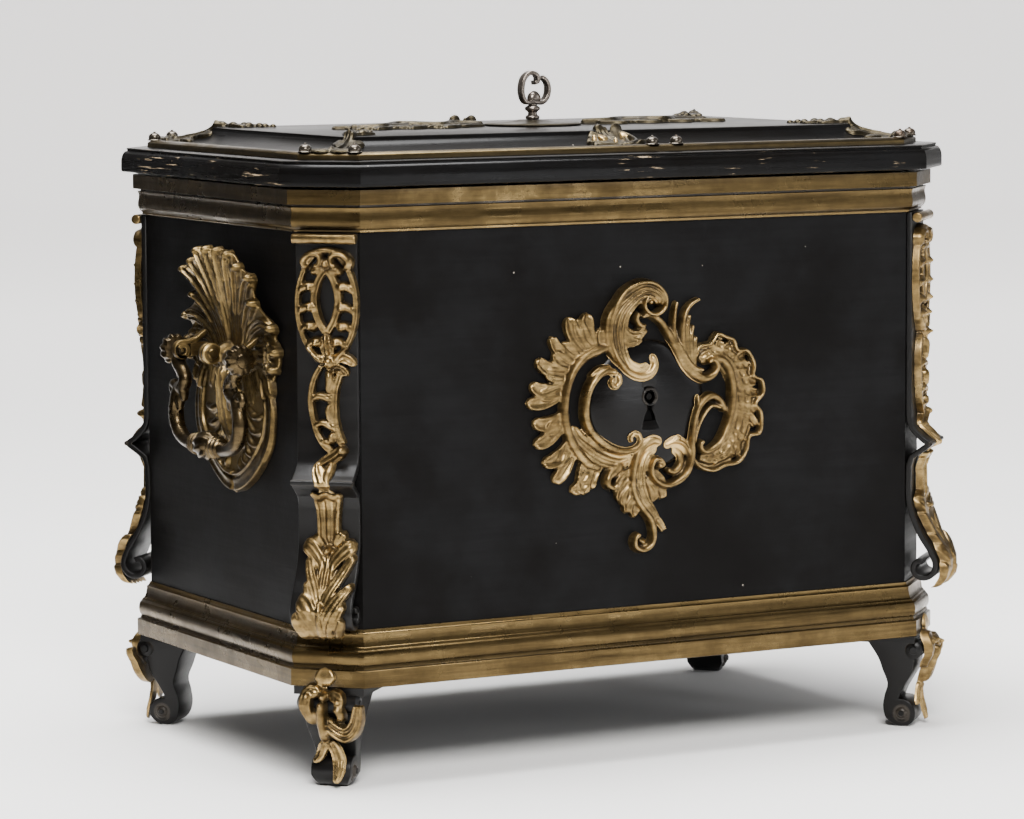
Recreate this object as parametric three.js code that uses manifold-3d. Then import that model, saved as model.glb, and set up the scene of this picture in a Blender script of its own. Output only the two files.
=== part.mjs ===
// An iron strongbox on scroll feet. Plates, mouldings and cast mounts make the case, two drop
// handles lift it, and one key in the lid turns a pinion that throws four bolts under a ledge.
// Millimetres, +Z up, front towards -Y, origin on the floor under the middle of the case.
// Heights below are above the underside of the case, which stands on the feet.
import * as THREE from "three";
import { mergeVertices } from "three/addons/utils/BufferGeometryUtils.js";
import Module from "manifold-3d";

// Case
const BODY_WIDTH = 620;
const BODY_DEPTH = 391;
const CASE_HEIGHT = 416.5;
const CORNER_CUT = 39;
const PLATE = 4;
const FLOOR_PLATE = 4;
const FOOT_HEIGHT = 86;
const SEAT = 0.3; // gap kept between faces that touch
const BASE_HEIGHT = 48;
const BASE_OUT = 12;
const CORNICE_HEIGHT = 36;
const CORNICE_OUT = 10.5;
const LEDGE_WIDTH = 15;
const LEDGE_THICKNESS = 3.4;

// Corner straps and their mounts
const STRAP_WIDTH = 54;
const STRAP_THICKNESS = 5;
const KNEE_HEIGHT = 173;
const KNEE_OUT = 21;
const SCROLL_RISE = 14; // centre of the lower curl above the base moulding
const SCROLL_OUT = 15;
const SCROLL_RADIUS = 13;
const MOUNT_RELIEF = 7;
const LEAF_RELIEF = 9;
const LEAF_WIDTH = 56;
const ROLLER_RADIUS = 4.4;
const FOOT_WIDTH = 54;
const FOOT_TOE_WIDTH = 37;

// Front ornament
const KEYHOLE_X = 3;
const KEYHOLE_Z = 222;
const BOSS_RADIUS = 57;
const BOSS_RELIEF = 7;
const CARTOUCHE_RELIEF = 10;
const CARTOUCHE_WIDTH = 235;
const CARTOUCHE_HEIGHT = 238;

// Side handles
const HANDLE_OFFSET = 37; // towards the front
const PIVOT_DROP = 146.5; // below the top of the case
const PIVOT_OUT = 29;
const PIN_RADIUS = 3.5;
const BAIL_HALF_WIDTH = 66;
const BAIL_DROP = 78;
const BAIL_THICKNESS = 11;
const KNOB_RADIUS = 12;
const EYE_RADIUS = 13; // the drum at the top of each arm
const LUG_THICKNESS = 7;
const HANDLE_PLATE_WIDTH = 180;
const HANDLE_PLATE_HEIGHT = 213;

// Lid
const LID_GAP = 2;
const LID_OVERHANG = 20;
const LID_EDGE = 21.5;
const LID_SHEET = 3;
const BAND_INSET = 22;
const BAND_WIDTH = 12;
const BAND_THICKNESS = 4.6;
const STUD_RADIUS = 4.6;
const STUD_HEIGHT = 4.4;
const PANEL_INSET = 39;
const COVE_RUN = 37;
const PANEL_RISE = 17.5;
const LID_MOUNT_RELIEF = 5;
const CORNER_BUD_LENGTH = 50; // of the lid's corner leaves along the flat top
const SPRAY_LENGTH = 132;
const SPRAY_GAP = 14; // from the key plate

// Hinges
const HINGE_INSET = 100; // from the side of the case
const HINGE_WIDTH = 39;
const HINGE_RADIUS = 4.4;
const HINGE_PIN = 2;
const HINGE_OUT = 15.4;
const HINGE_DROP = 4.5; // barrel axis below the top of the case
const HINGE_LEAF = 3;
const HINGE_LENGTH = 80;
const HINGE_TENON = 13;

// Lock in the lid
const TOOTH_MODULE = 2.5;
const TEETH = 14;
const PRESSURE_ANGLE = THREE.MathUtils.degToRad(25);
const BACKLASH = 0.5;
const BOLT_THICKNESS = 5;
const BOLT_WIDTH = 10;
const BOLT_RUNNING = 1.3; // under the ledge
const LEVEL_GAP = 2;
const NOSE_WIDTH = 22;
const NOSE_LENGTH = 24;
const NOSE_CLEAR = 4.7; // from the ledge, with the bolts drawn back
const NOSE_PITCH_SIDE = 90;
const NOSE_PITCH_FRONT = 120;
const LOCK_PLATE = 3;
const LOCK_CLEAR = 3;
const STAPLE = 3;
const STAPLE_LENGTH = 10;
const BRIDGE_REACH = 60;
const HUB_RADIUS = 13.5;

// Key
const KEY_PIN = 4.75;
const BIT_REACH = 11.5;
const BIT_THICKNESS = 4;
const BIT_HEIGHT = 10;
const KEY_CLEAR = 0.4;
const KEY_PLATE_RADIUS = 44;
const KEY_PLATE_RISE = 5;
const BOW_THICKNESS = 6;
const KEY_NECK = 15;

// Heights worked out from the sizes above
const lidUnder = CASE_HEIGHT + LID_GAP;
const lidTop = lidUnder + LID_EDGE;
const panelTop = lidTop + PANEL_RISE;
const ledgeTop = CASE_HEIGHT - SEAT;
const ledgeBottom = ledgeTop - LEDGE_THICKNESS;
const upperBolt = ledgeBottom - BOLT_RUNNING - BOLT_THICKNESS;
const lowerBolt = upperBolt - LEVEL_GAP - BOLT_THICKNESS;
const lockUnder = upperBolt + BOLT_THICKNESS + SEAT;
const bridgeTop = lowerBolt - 2 * SEAT;
const pitchRadius = (TOOTH_MODULE * TEETH) / 2;
const lockInset = PLATE + SEAT + LEDGE_WIDTH + LOCK_CLEAR;
const keyPlateTop = panelTop + SEAT + KEY_PLATE_RISE;
const pivotHeight = CASE_HEIGHT - PIVOT_DROP;
const hingeX = BODY_WIDTH / 2 - HINGE_INSET;
const hingeY = BODY_DEPTH / 2 + HINGE_OUT;
const hingeZ = CASE_HEIGHT - HINGE_DROP;
const strapFace = SEAT + STRAP_THICKNESS;
const rollerZ = CASE_HEIGHT - CORNICE_HEIGHT - 2 * SEAT - ROLLER_RADIUS;
const scrollZ = BASE_HEIGHT + SCROLL_RISE;
const kneeTop = KNEE_HEIGHT + 24;

const wasm = await Module();
wasm.setup();

// A closed geometry as a solid whose faces point outwards
function solid(geometry) {
  const bare = new THREE.BufferGeometry();
  bare.setAttribute("position", geometry.getAttribute("position"));
  bare.setIndex(geometry.index);
  const merged = mergeVertices(bare, 1e-4);
  const triVerts = new Uint32Array(merged.index.array);
  const vertProperties = new Float32Array(merged.attributes.position.array);
  const made = new wasm.Manifold(new wasm.Mesh({ numProp: 3, vertProperties, triVerts }));
  if (made.volume() > 0) return made;
  for (let i = 0; i < triVerts.length; i += 3) {
    [triVerts[i + 1], triVerts[i + 2]] = [triVerts[i + 2], triVerts[i + 1]];
  }
  return new wasm.Manifold(new wasm.Mesh({ numProp: 3, vertProperties, triVerts }));
}

function joined(...parts) {
  return parts.reduce((whole, part) => whole.add(part));
}

function without(part, ...tools) {
  return tools.reduce((left, tool) => left.subtract(tool), part);
}

function geometryOf(part) {
  const { vertProperties, triVerts } = part.getMesh();
  const geometry = new THREE.BufferGeometry();
  geometry.setAttribute("position", new THREE.BufferAttribute(vertProperties, 3));
  geometry.setIndex(new THREE.BufferAttribute(triVerts, 1));
  return geometry;
}

function placed(part, matrix) {
  return solid(geometryOf(part).applyMatrix4(matrix));
}

const shift = (x, y, z) => new THREE.Matrix4().makeTranslation(x, y, z);
const turnZ = (degrees) => new THREE.Matrix4().makeRotationZ(THREE.MathUtils.degToRad(degrees));

function named(name, part, material) {
  const geometry = geometryOf(part);
  geometry.computeVertexNormals();
  const mesh = new THREE.Mesh(geometry, material);
  mesh.name = name;
  return mesh;
}

// Plain forms, each placed by its limits or its middle
function block([x0, x1], [y0, y1], [z0, z1]) {
  const geometry = new THREE.BoxGeometry(x1 - x0, y1 - y0, z1 - z0);
  return solid(geometry.translate((x0 + x1) / 2, (y0 + y1) / 2, (z0 + z1) / 2));
}

function rod(radius, length, axis, [x, y, z], sides = 12) {
  const geometry = new THREE.CylinderGeometry(radius, radius, length, sides);
  if (axis === "x") geometry.rotateZ(Math.PI / 2);
  if (axis === "z") geometry.rotateX(Math.PI / 2);
  return solid(geometry.translate(x, y, z));
}

// A turned form about an upright axis, from [radius, height] points
function turned(profile, [x, y, z], sides = 20) {
  const points = profile.map(([r, h]) => new THREE.Vector2(r, h));
  const geometry = new THREE.LatheGeometry(points, sides);
  return solid(geometry.rotateX(Math.PI / 2).translate(x, y, z));
}

// An upright outline in x and z, standing out from y = 0 towards -Y between two distances
function upright(shape, from, to) {
  const geometry = new THREE.ExtrudeGeometry(shape, { depth: to - from, bevelEnabled: false });
  return solid(geometry.rotateX(Math.PI / 2).translate(0, -from, 0));
}

// A flat outline in x and y, from one height to another
function flat(shape, from, to) {
  const geometry = new THREE.ExtrudeGeometry(shape, { depth: to - from, bevelEnabled: false });
  return solid(geometry.translate(0, 0, from));
}

function outline(points) {
  return new THREE.Shape(points.map(([x, y]) => new THREE.Vector2(x, y)));
}

// Points of a smooth curve through a few chosen ones, evenly spaced
function smooth(points, steps) {
  const curve = new THREE.CatmullRomCurve3(
    points.map(([x, y]) => new THREE.Vector3(x, y, 0)),
    false,
    "centripetal",
  );
  return curve.getSpacedPoints(steps).map((p) => [p.x, p.y]);
}

// Unit normals to the left of an open path
function normals(path) {
  return path.map((_, i) => {
    const [ax, ay] = path[Math.max(i - 1, 0)];
    const [bx, by] = path[Math.min(i + 1, path.length - 1)];
    const length = Math.hypot(bx - ax, by - ay);
    return [-(by - ay) / length, (bx - ax) / length];
  });
}

// Triangles that close a flat section, wound as its points run
function capOf(section) {
  const points = section.map(([x, y]) => new THREE.Vector2(x, y));
  const leftward = THREE.ShapeUtils.area(points) > 0;
  return THREE.ShapeUtils.triangulateShape(points, []).map(([i, j, k]) => {
    const first = points[j].clone().sub(points[i]);
    const second = points[k].clone().sub(points[i]);
    return first.cross(second) > 0 === leftward ? [i, j, k] : [i, k, j];
  });
}

// A closed solid through rows of points that all follow one section
function lofted(rows, section) {
  const count = rows[0].length;
  const positions = rows.flat(2);
  const index = [];
  for (let i = 0; i + 1 < rows.length; i += 1) {
    for (let j = 0; j < count; j += 1) {
      const a = i * count + j;
      const b = i * count + ((j + 1) % count);
      index.push(a, b, b + count, a, b + count, a + count);
    }
  }
  const last = (rows.length - 1) * count;
  for (const [i, j, k] of capOf(section)) {
    index.push(i, k, j, last + i, last + j, last + k);
  }
  const geometry = new THREE.BufferGeometry();
  geometry.setAttribute("position", new THREE.Float32BufferAttribute(positions, 3));
  geometry.setIndex(index);
  return solid(geometry);
}

// Eight corners of the case's plan, moved outwards by a distance
function octagon(out) {
  const x = BODY_WIDTH / 2 + out;
  const y = BODY_DEPTH / 2 + out;
  const cut = CORNER_CUT + out * (2 - Math.SQRT2);
  const quarter = [[x, y - cut], [x - cut, y]];
  const back = quarter.map(([px, py]) => [-px, py]).reverse();
  const front = [...quarter, ...back].map(([px, py]) => [px, -py]).reverse();
  return [...quarter, ...back, ...front];
}

// A solid round the case's plan, from [out, height] points that run from its lower face to its
// upper face
function layered(profile) {
  return lofted(profile.map(([out, z]) => octagon(out).map(([x, y]) => [x, y, z])), octagon(0));
}

// A moulding that runs round the case's plan, from a closed [out, height] section
function moulding(section) {
  const ring = section.map(([out, z]) => octagon(out).map(([x, y]) => [x, y, z]));
  const sides = ring[0].length;
  const index = [];
  ring.forEach((_, i) => {
    const next = (i + 1) % ring.length;
    for (let j = 0; j < sides; j += 1) {
      const k = (j + 1) % sides;
      const [a, b] = [i * sides + j, i * sides + k];
      const [c, d] = [next * sides + k, next * sides + j];
      index.push(a, b, c, a, c, d);
    }
  });
  const geometry = new THREE.BufferGeometry();
  geometry.setAttribute("position", new THREE.Float32BufferAttribute(ring.flat(2), 3));
  geometry.setIndex(index);
  return solid(geometry);
}

// Points of an arc of an ellipse, angles in degrees
function arc(cx, cy, rx, ry, from, to, steps) {
  const points = [];
  for (let i = 0; i <= steps; i += 1) {
    const angle = THREE.MathUtils.degToRad(from + ((to - from) * i) / steps);
    points.push([cx + rx * Math.cos(angle), cy + ry * Math.sin(angle)]);
  }
  return points;
}

// Points of a spiral that winds between two radii
function spiral(cx, cy, startRadius, endRadius, from, to, steps) {
  return arc(0, 0, 1, 1, from, to, steps).map(([x, y], i) => {
    const radius = startRadius + ((endRadius - startRadius) * i) / steps;
    return [cx + radius * x, cy + radius * y];
  });
}

// Cross-sections of a raised scroll: [share of the half width, share of the relief]
const ROUNDED = [[-1, 0], [-0.85, 0.6], [0, 1], [0.85, 0.6], [1, 0]];
const RIDGED = [[-1, 0], [0, 1], [1, 0]];
const CHANNEL = [[-1, 0], [-0.8, 1], [0, 0.45], [0.8, 1], [1, 0]];

// A raised scroll or leaf that lies on the plane y = 0 and follows a path in x and z
function scroll(path, halfWidth, relief, section = ROUNDED) {
  const side = normals(path);
  const last = path.length - 1;
  const rows = path.map(([x, z], i) => {
    const width = halfWidth(i / last);
    const height = relief(i / last);
    return section.map(([across, up]) => [
      x + side[i][0] * across * width,
      -up * height,
      z + side[i][1] * across * width,
    ]);
  });
  return lofted(rows, section);
}

// A round bar in the plane y = 0 along a path in x and z
function bar(path, radius, sides = 8) {
  const side = normals(path);
  const last = path.length - 1;
  const circle = Array.from({ length: sides }, (_, k) => {
    const angle = (2 * Math.PI * (k + 0.5)) / sides;
    return [Math.cos(angle), Math.sin(angle)];
  });
  const rows = path.map(([x, z], i) => {
    const r = radius(i / last);
    return circle.map(([across, up]) => [
      x + side[i][0] * across * r,
      up * r,
      z + side[i][1] * across * r,
    ]);
  });
  return lofted(rows, circle);
}

const even = (value) => () => value;
const tapered = (start, end) => (t) => start + (end - start) * t;
const swelling = (start, middle, end) => (t) =>
  start * (1 - t) * (1 - t) + 2 * middle * t * (1 - t) + end * t * t;

// A turned form that faces -Y, from [radius, distance out] points
function facing(profile, [x, z], sides = 10) {
  const points = profile.map(([r, h]) => new THREE.Vector2(r, h));
  const geometry = new THREE.LatheGeometry(points, sides).rotateX(Math.PI);
  return solid(geometry.translate(x, 0, z));
}

function dome(place, radius, height, sides = 10) {
  return facing([[0, 0], [radius, 0], [radius * 0.8, height * 0.6], [0, height]], place, sides);
}

const iron = (color, roughness) =>
  new THREE.MeshStandardMaterial({ color, roughness, metalness: 0.6, flatShading: true });
const gilt = (color, roughness) =>
  new THREE.MeshStandardMaterial({ color, roughness, metalness: 0.85, flatShading: true });
const BLACK_IRON = iron(0x1c1b1c, 0.55);
const BARE_IRON = iron(0x55504b, 0.5);
const GILT_MOULDING = gilt(0x86683a, 0.42);
const GILT_MOUNT = gilt(0xb08a4c, 0.38);
const HANDLE_BRASS = gilt(0x8d6b39, 0.4);
const DARK_BRONZE = gilt(0x4c4130, 0.5);

const strongbox = new THREE.Group();
const box = new THREE.Group();
box.position.z = FOOT_HEIGHT;
strongbox.add(box);

// Plates of the case. The front and the back each fold round two corners.
function foldedPlate(sideY) {
  const outer = octagon(0).slice(0, 4);
  const inner = octagon(-PLATE).slice(0, 4);
  const shape = outline([...outer, ...inner.reverse()].map(([x, y]) => [x * sideY, y * sideY]));
  return flat(shape, FLOOR_PLATE + SEAT, CASE_HEIGHT);
}

function sidePlate(sideX) {
  const [outerX, outerY] = octagon(0)[0];
  const [innerX, innerY] = octagon(-PLATE)[0];
  const shape = outline([
    [outerX, -outerY + SEAT],
    [outerX, outerY - SEAT],
    [innerX, innerY - SEAT],
    [innerX, -innerY + SEAT],
  ].map(([x, y]) => [x * sideX, y * sideX]));
  return flat(shape, FLOOR_PLATE + SEAT, CASE_HEIGHT);
}

// The slot through which a hinge leaf leaves the case, cut through plate and cornice
function hingeSlots() {
  return [-hingeX, hingeX].map((x) => {
    const half = HINGE_WIDTH / 2 + SEAT;
    const z = hingeLeafBottom() - SEAT;
    return block(
      [x - half, x + half],
      [BODY_DEPTH / 2 - PLATE - 2, hingeY],
      [z, z + HINGE_LEAF + 2 * SEAT],
    );
  });
}

function hingeLeafBottom() {
  return hingeZ - HINGE_RADIUS + SEAT;
}

// The keyhole of the front boss: an eye over a leg that spreads at the foot
function keyholeCut() {
  const eye = rod(6.5, 4 * BOSS_RELIEF, "y", [KEYHOLE_X, 0, KEYHOLE_Z + 8], 14);
  const leg = outline([[-2.6, 8], [-3.2, -8], [-6.6, -11], [-5, -16], [5, -16], [6.6, -11],
    [3.2, -8], [2.6, 8]]);
  const slot = upright(leg, -BOSS_RELIEF, 2 * BOSS_RELIEF);
  return eye.add(placed(slot, shift(KEYHOLE_X, 0, KEYHOLE_Z)));
}

function baseSection() {
  const lower = [[0, 0], [1, 0], [1, 0.31], [0.8, 0.33]];
  const torus = arc(0.66, 0.52, 0.27, 0.17, -75, 80, 6);
  const cove = arc(0.62, 0.87, 0.3, 0.17, 255, 195, 3);
  const upper = [[0.36, 0.9], [0.36, 0.95], [0.16, 1], [0, 1]];
  const shares = [...lower, ...torus, ...cove, ...upper];
  return shares.map(([out, up]) => [SEAT + out * (BASE_OUT - SEAT), up * BASE_HEIGHT]);
}

function corniceSection() {
  const torus = arc(0.36, 0.2, 0.3, 0.14, -70, 75, 5);
  const cove = arc(0.9, 0.34, 0.48, 0.26, 175, 108, 4);
  const shares = [[0, 0], [0.26, 0], [0.26, 0.05], ...torus, ...cove, [1, 0.63], [1, 1], [0, 1]];
  const base = CASE_HEIGHT - CORNICE_HEIGHT;
  return shares.map(([out, up]) => [SEAT + out * (CORNICE_OUT - SEAT), base + up * CORNICE_HEIGHT]);
}

function addCase() {
  const cuts = hingeSlots();
  const inner = -PLATE - SEAT;
  box.add(named("floor_plate", layered([[0, 0], [0, FLOOR_PLATE]]), BLACK_IRON));
  const guidePin = rod(2.8, 6, "y", [KEYHOLE_X, -BODY_DEPTH / 2 - 2.5, KEYHOLE_Z + 8], 8);
  box.add(named("front_plate", joined(foldedPlate(-1), guidePin), BLACK_IRON));
  box.add(named("back_plate", without(foldedPlate(1), ...cuts), BLACK_IRON));
  box.add(named("left_plate", sidePlate(-1), BLACK_IRON));
  box.add(named("right_plate", sidePlate(1), BLACK_IRON));
  box.add(named("base_moulding", moulding(baseSection()), GILT_MOULDING));
  box.add(named("cornice_moulding", without(moulding(corniceSection()), ...cuts), GILT_MOULDING));
  const ledge = moulding([
    [inner, ledgeBottom],
    [inner, ledgeTop],
    [inner - LEDGE_WIDTH, ledgeTop],
    [inner - LEDGE_WIDTH, ledgeBottom],
  ]);
  box.add(named("rim_ledge", ledge, BARE_IRON));
}

// The corner strap seen from the side: [distance out from the corner face, height]. It lies flat,
// kicks out in a knee, sweeps out again and ends in a curl above the base moulding.
function strapPath() {
  const face = SEAT + STRAP_THICKNESS / 2;
  const upper = [
    [face, rollerZ + ROLLER_RADIUS],
    [face, kneeTop],
    [face + 3.5, KNEE_HEIGHT + 14],
    [KNEE_OUT - 6, KNEE_HEIGHT + 5],
    [KNEE_OUT, KNEE_HEIGHT],
    [KNEE_OUT - 6, KNEE_HEIGHT - 5],
    [face + 2.5, KNEE_HEIGHT - 12],
    [face, KNEE_HEIGHT - 20],
    [face, KNEE_HEIGHT - 34],
  ];
  const sweep = smooth([
    [face, KNEE_HEIGHT - 50],
    [face + 4, scrollZ + 44],
    [face + 11, scrollZ + 29],
    [face + 19, scrollZ + 16],
  ], 6);
  const curl = spiral(SCROLL_OUT, scrollZ, SCROLL_RADIUS, SCROLL_RADIUS * 0.35, 22, -290, 9);
  return [...upper, ...sweep, ...curl];
}

// A ribbon of even thickness along a path, as an outline
function ribbonOutline(path, thickness) {
  const side = normals(path);
  const edge = (sign) =>
    path.map(([x, y], i) => [
      x + (sign * side[i][0] * thickness) / 2,
      y + (sign * side[i][1] * thickness) / 2,
    ]);
  return outline([...edge(1), ...edge(-1).reverse()]);
}

// An outline in [out, height], extruded across the corner by a width
function acrossCorner(shape, width) {
  const geometry = new THREE.ExtrudeGeometry(shape, { depth: width, bevelEnabled: false });
  geometry.translate(0, 0, -width / 2);
  geometry.rotateX(Math.PI / 2).rotateZ(-Math.PI / 2);
  return geometry;
}

function cornerStrap() {
  return solid(acrossCorner(ribbonOutline(strapPath(), STRAP_THICKNESS), STRAP_WIDTH));
}

function hole(points) {
  return new THREE.Path(points.map(([x, y]) => new THREE.Vector2(x, y)));
}

// The pierced casting on the upper strap, drawn 178 high from its top edge downwards: an oval of
// ladder bars round an almond, a knot, and a drop with two rails that ends in a curled tip
function piercedCasting() {
  const oval = outline(arc(0, -50, 26, 48, 0, 337.5, 15));
  oval.holes.push(hole(arc(0, -46, 8, 25, 320, 0, 8)));
  for (const side of [-1, 1]) {
    for (let bar = 0; bar < 5; bar += 1) {
      const z = -24 - bar * 15;
      const reach = side * (26 * Math.sqrt(1 - ((z + 50) / 48) ** 2) - 4.5);
      const root = side * (12.5 - Math.abs(bar - 1.5) * 1.2);
      oval.holes.push(hole([[root, z + 4.2], [reach, z + 2.6], [reach, z - 3.4]]));
    }
  }
  const left = smooth([[-9, -96], [-17, -113], [-18, -133], [-13, -152], [-3, -166], [3, -172]], 7);
  const right = smooth([[10, -164], [16, -150], [13, -132], [14, -112], [9, -96]], 5);
  const drop = outline([...left, ...right]);
  drop.holes.push(
    hole([[-8, -104], [-13, -116], [-4, -113]]),
    hole([[-13.5, -122], [-14, -134], [-3, -131], [-5, -121]]),
    hole([[-12.5, -140], [-8.5, -150], [0, -146], [-2, -138]]),
    hole([[6, -106], [9, -118], [1, -112]]),
    hole([[9, -124], [9.5, -138], [3, -136], [2, -122]]),
  );
  const tip = scroll(
    smooth([[0, -156], [-6, -166], [-3, -175], [5, -176]], 4),
    tapered(8, 2),
    even(MOUNT_RELIEF + 2),
    RIDGED,
  );
  return joined(
    upright(oval, 0, MOUNT_RELIEF),
    upright(drop, 0, MOUNT_RELIEF),
    dome([0, -98], 12, MOUNT_RELIEF + 4, 6),
    dome([0, -13], 7, MOUNT_RELIEF + 3, 6),
    tip,
  );
}

// The casting fills the flat of the strap from the roller down to the knee
function cornerMount() {
  const top = rollerZ - 2;
  const out = strapFace + SEAT;
  const stretch = (top - kneeTop) / 178;
  const seat = shift(0, -out, top).scale(new THREE.Vector3(STRAP_WIDTH / 54, 1, stretch));
  const rollerOut = out + ROLLER_RADIUS;
  const roller = rod(ROLLER_RADIUS, STRAP_WIDTH + 2, "x", [0, -rollerOut, rollerZ], 8);
  const clasp = block([-5, 5], [-rollerOut, -out], [top - 12, rollerZ]);
  return joined(placed(piercedCasting(), seat), clasp, roller);
}

// A leaf that lies on the strap below the knee and follows it over the bulge. Its half widths
// run from the husk to the tips of the lobes.
function cornerLeaf() {
  const path = strapPath();
  const side = normals(path);
  const start = path.findIndex(([, z], i) => i > 4 && z < KNEE_HEIGHT);
  const end = path.findIndex(([out, z]) => z < scrollZ - 6 && out > SCROLL_OUT);
  const shares = [0.54, 0.43, 0.29, 0.29, 0.43, 0.93, 0.68, 0.93, 0.71, 1, 0.86, 0.93, 0.71, 0.32];
  const lift = [[-1, 0], [-0.9, 0.4], [0, 1], [0.9, 0.4], [1, 0]];
  const base = STRAP_THICKNESS / 2 + SEAT;
  const rows = [];
  for (let i = start; i <= end; i += 1) {
    const t = (i - start) / (end - start);
    const half = (shares[Math.round(t * (shares.length - 1))] * LEAF_WIDTH) / 2;
    const body = LEAF_RELIEF * (0.55 + 0.45 * Math.sin(Math.PI * Math.min(1, t * 1.15)));
    rows.push(lift.map(([across, up]) => {
      const off = base + up * body;
      return [across * half, -(path[i][0] + side[i][0] * off), path[i][1] + side[i][1] * off];
    }));
  }
  return lofted(rows, lift);
}

// The foot is drawn 86 high, as [distance out, height], and stretched to its real height
const footStretch = (FOOT_HEIGHT - SEAT) / 86;

function scrollFoot() {
  const front = smooth([[8, -20], [6, -34], [0, -45], [-5, -54], [-7, -60]], 5);
  const volute = arc(-5, -73, 13, 13, 72, -68, 7);
  const heel = smooth([[-10, -85.4], [-18, -80], [-21.5, -68], [-20, -57], [-17, -46], [-21, -34],
    [-25, -22], [-34, -6]], 9);
  const leg = acrossCorner(outline([[8, -4], ...front, ...volute, [0, -86], [-8, -86], ...heel]), 1);
  const place = leg.getAttribute("position");
  for (let i = 0; i < place.count; i += 1) {
    const down = Math.min(1, -place.getZ(i) / 60);
    place.setX(i, place.getX(i) * (FOOT_WIDTH + (FOOT_TOE_WIDTH - FOOT_WIDTH) * down));
  }
  const made = joined(
    solid(leg),
    block([-FOOT_WIDTH / 2 - 4, FOOT_WIDTH / 2 + 4], [-10, 45], [-7, 0]),
    rod(8, FOOT_WIDTH, "x", [0, -8, -14], 12),
    rod(5.5, FOOT_TOE_WIDTH + 5, "x", [0, 4.5, -73], 10),
  );
  return placed(made, shift(0, 0, -SEAT).scale(new THREE.Vector3(1, 1, footStretch)));
}

// The leaf on the foot: a tongue over the plinth, a cup round the knee of the foot and a long tip
// that touches the toe. Each row is [height, inner face out, outer face out, half width].
function footLeaf() {
  const plinth = BASE_OUT + SEAT;
  const tongue = [[18, plinth, 15.5, 5], [10, plinth, 17, 9], [1, plinth, 18, 8]];
  const cup = [[-4, 13, 20, 12], [-9, 16.2, 23.5, 24], [-14, 17, 24.5, 22], [-19, 16.2, 24, 25],
    [-26, 11, 22, 20], [-36, 7.5, 18.5, 24], [-46, 5, 12, 13]];
  const tip = [[-54, 5.5, 8.5, 8], [-62, 6, 8.8, 7], [-68, 8, 12, 9], [-74, 9.5, 15.5, 10],
    [-79, 13, 16.5, 3]];
  const section = [[-1, 0], [-0.8, 0.6], [0, 1], [0.8, 0.6], [1, 0]];
  const rows = [...tongue, ...cup, ...tip].map(([z, inner, outer, half]) =>
    section.map(([across, up]) => [
      across * half,
      -(inner + (outer - inner) * up),
      z > 0 ? z : z * footStretch - SEAT,
    ]),
  );
  return lofted(rows, section);
}

const CORNERS = [
  ["front_right", 1, -1, 45],
  ["back_right", 1, 1, 135],
  ["back_left", -1, 1, 225],
  ["front_left", -1, -1, 315],
];

// A group whose plane y = 0 lies on the face of a cut corner and whose -Y points out of it
function cornerGroup([, sideX, sideY, turn]) {
  const group = new THREE.Group();
  const inset = CORNER_CUT / 2;
  group.position.set(sideX * (BODY_WIDTH / 2 - inset), sideY * (BODY_DEPTH / 2 - inset), 0);
  group.rotation.z = THREE.MathUtils.degToRad(turn);
  return group;
}

function addCorners() {
  const strap = cornerStrap();
  const mount = cornerMount();
  const leaf = cornerLeaf();
  const foot = scrollFoot();
  const toeLeaf = footLeaf();
  for (const corner of CORNERS) {
    const group = cornerGroup(corner);
    const name = corner[0];
    group.add(named(`corner_strap_${name}`, strap, BLACK_IRON));
    group.add(named(`corner_mount_${name}`, mount, GILT_MOUNT));
    group.add(named(`corner_leaf_${name}`, leaf, GILT_MOUNT));
    group.add(named(`foot_scroll_${name}`, foot, BLACK_IRON));
    group.add(named(`foot_leaf_${name}`, toeLeaf, GILT_MOUNT));
    box.add(group);
  }
}

// The domed boss behind the front ornament, with its false keyhole
function bossProfile(grow) {
  const rim = BOSS_RADIUS + grow;
  return [[0, -3 * grow], [rim, -3 * grow], [rim, 1.2 + grow], [rim * 0.78, 0.6 * BOSS_RELIEF + grow],
    [rim * 0.45, 0.9 * BOSS_RELIEF + grow], [0, BOSS_RELIEF + grow]];
}

function keyholeBoss() {
  const boss = facing(bossProfile(0), [KEYHOLE_X, KEYHOLE_Z], 24);
  return without(boss, keyholeCut());
}

// One curled leaf of the front ornament, from its root to its tip
function curledLeaf(path, halfWidth) {
  const width = (t) => Math.max(1, halfWidth * Math.sin(Math.PI * (0.28 + 0.68 * t)));
  const relief = tapered(CARTOUCHE_RELIEF * 0.8, CARTOUCHE_RELIEF * 0.45);
  return scroll(smooth(path, 4), width, relief, RIDGED);
}

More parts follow.
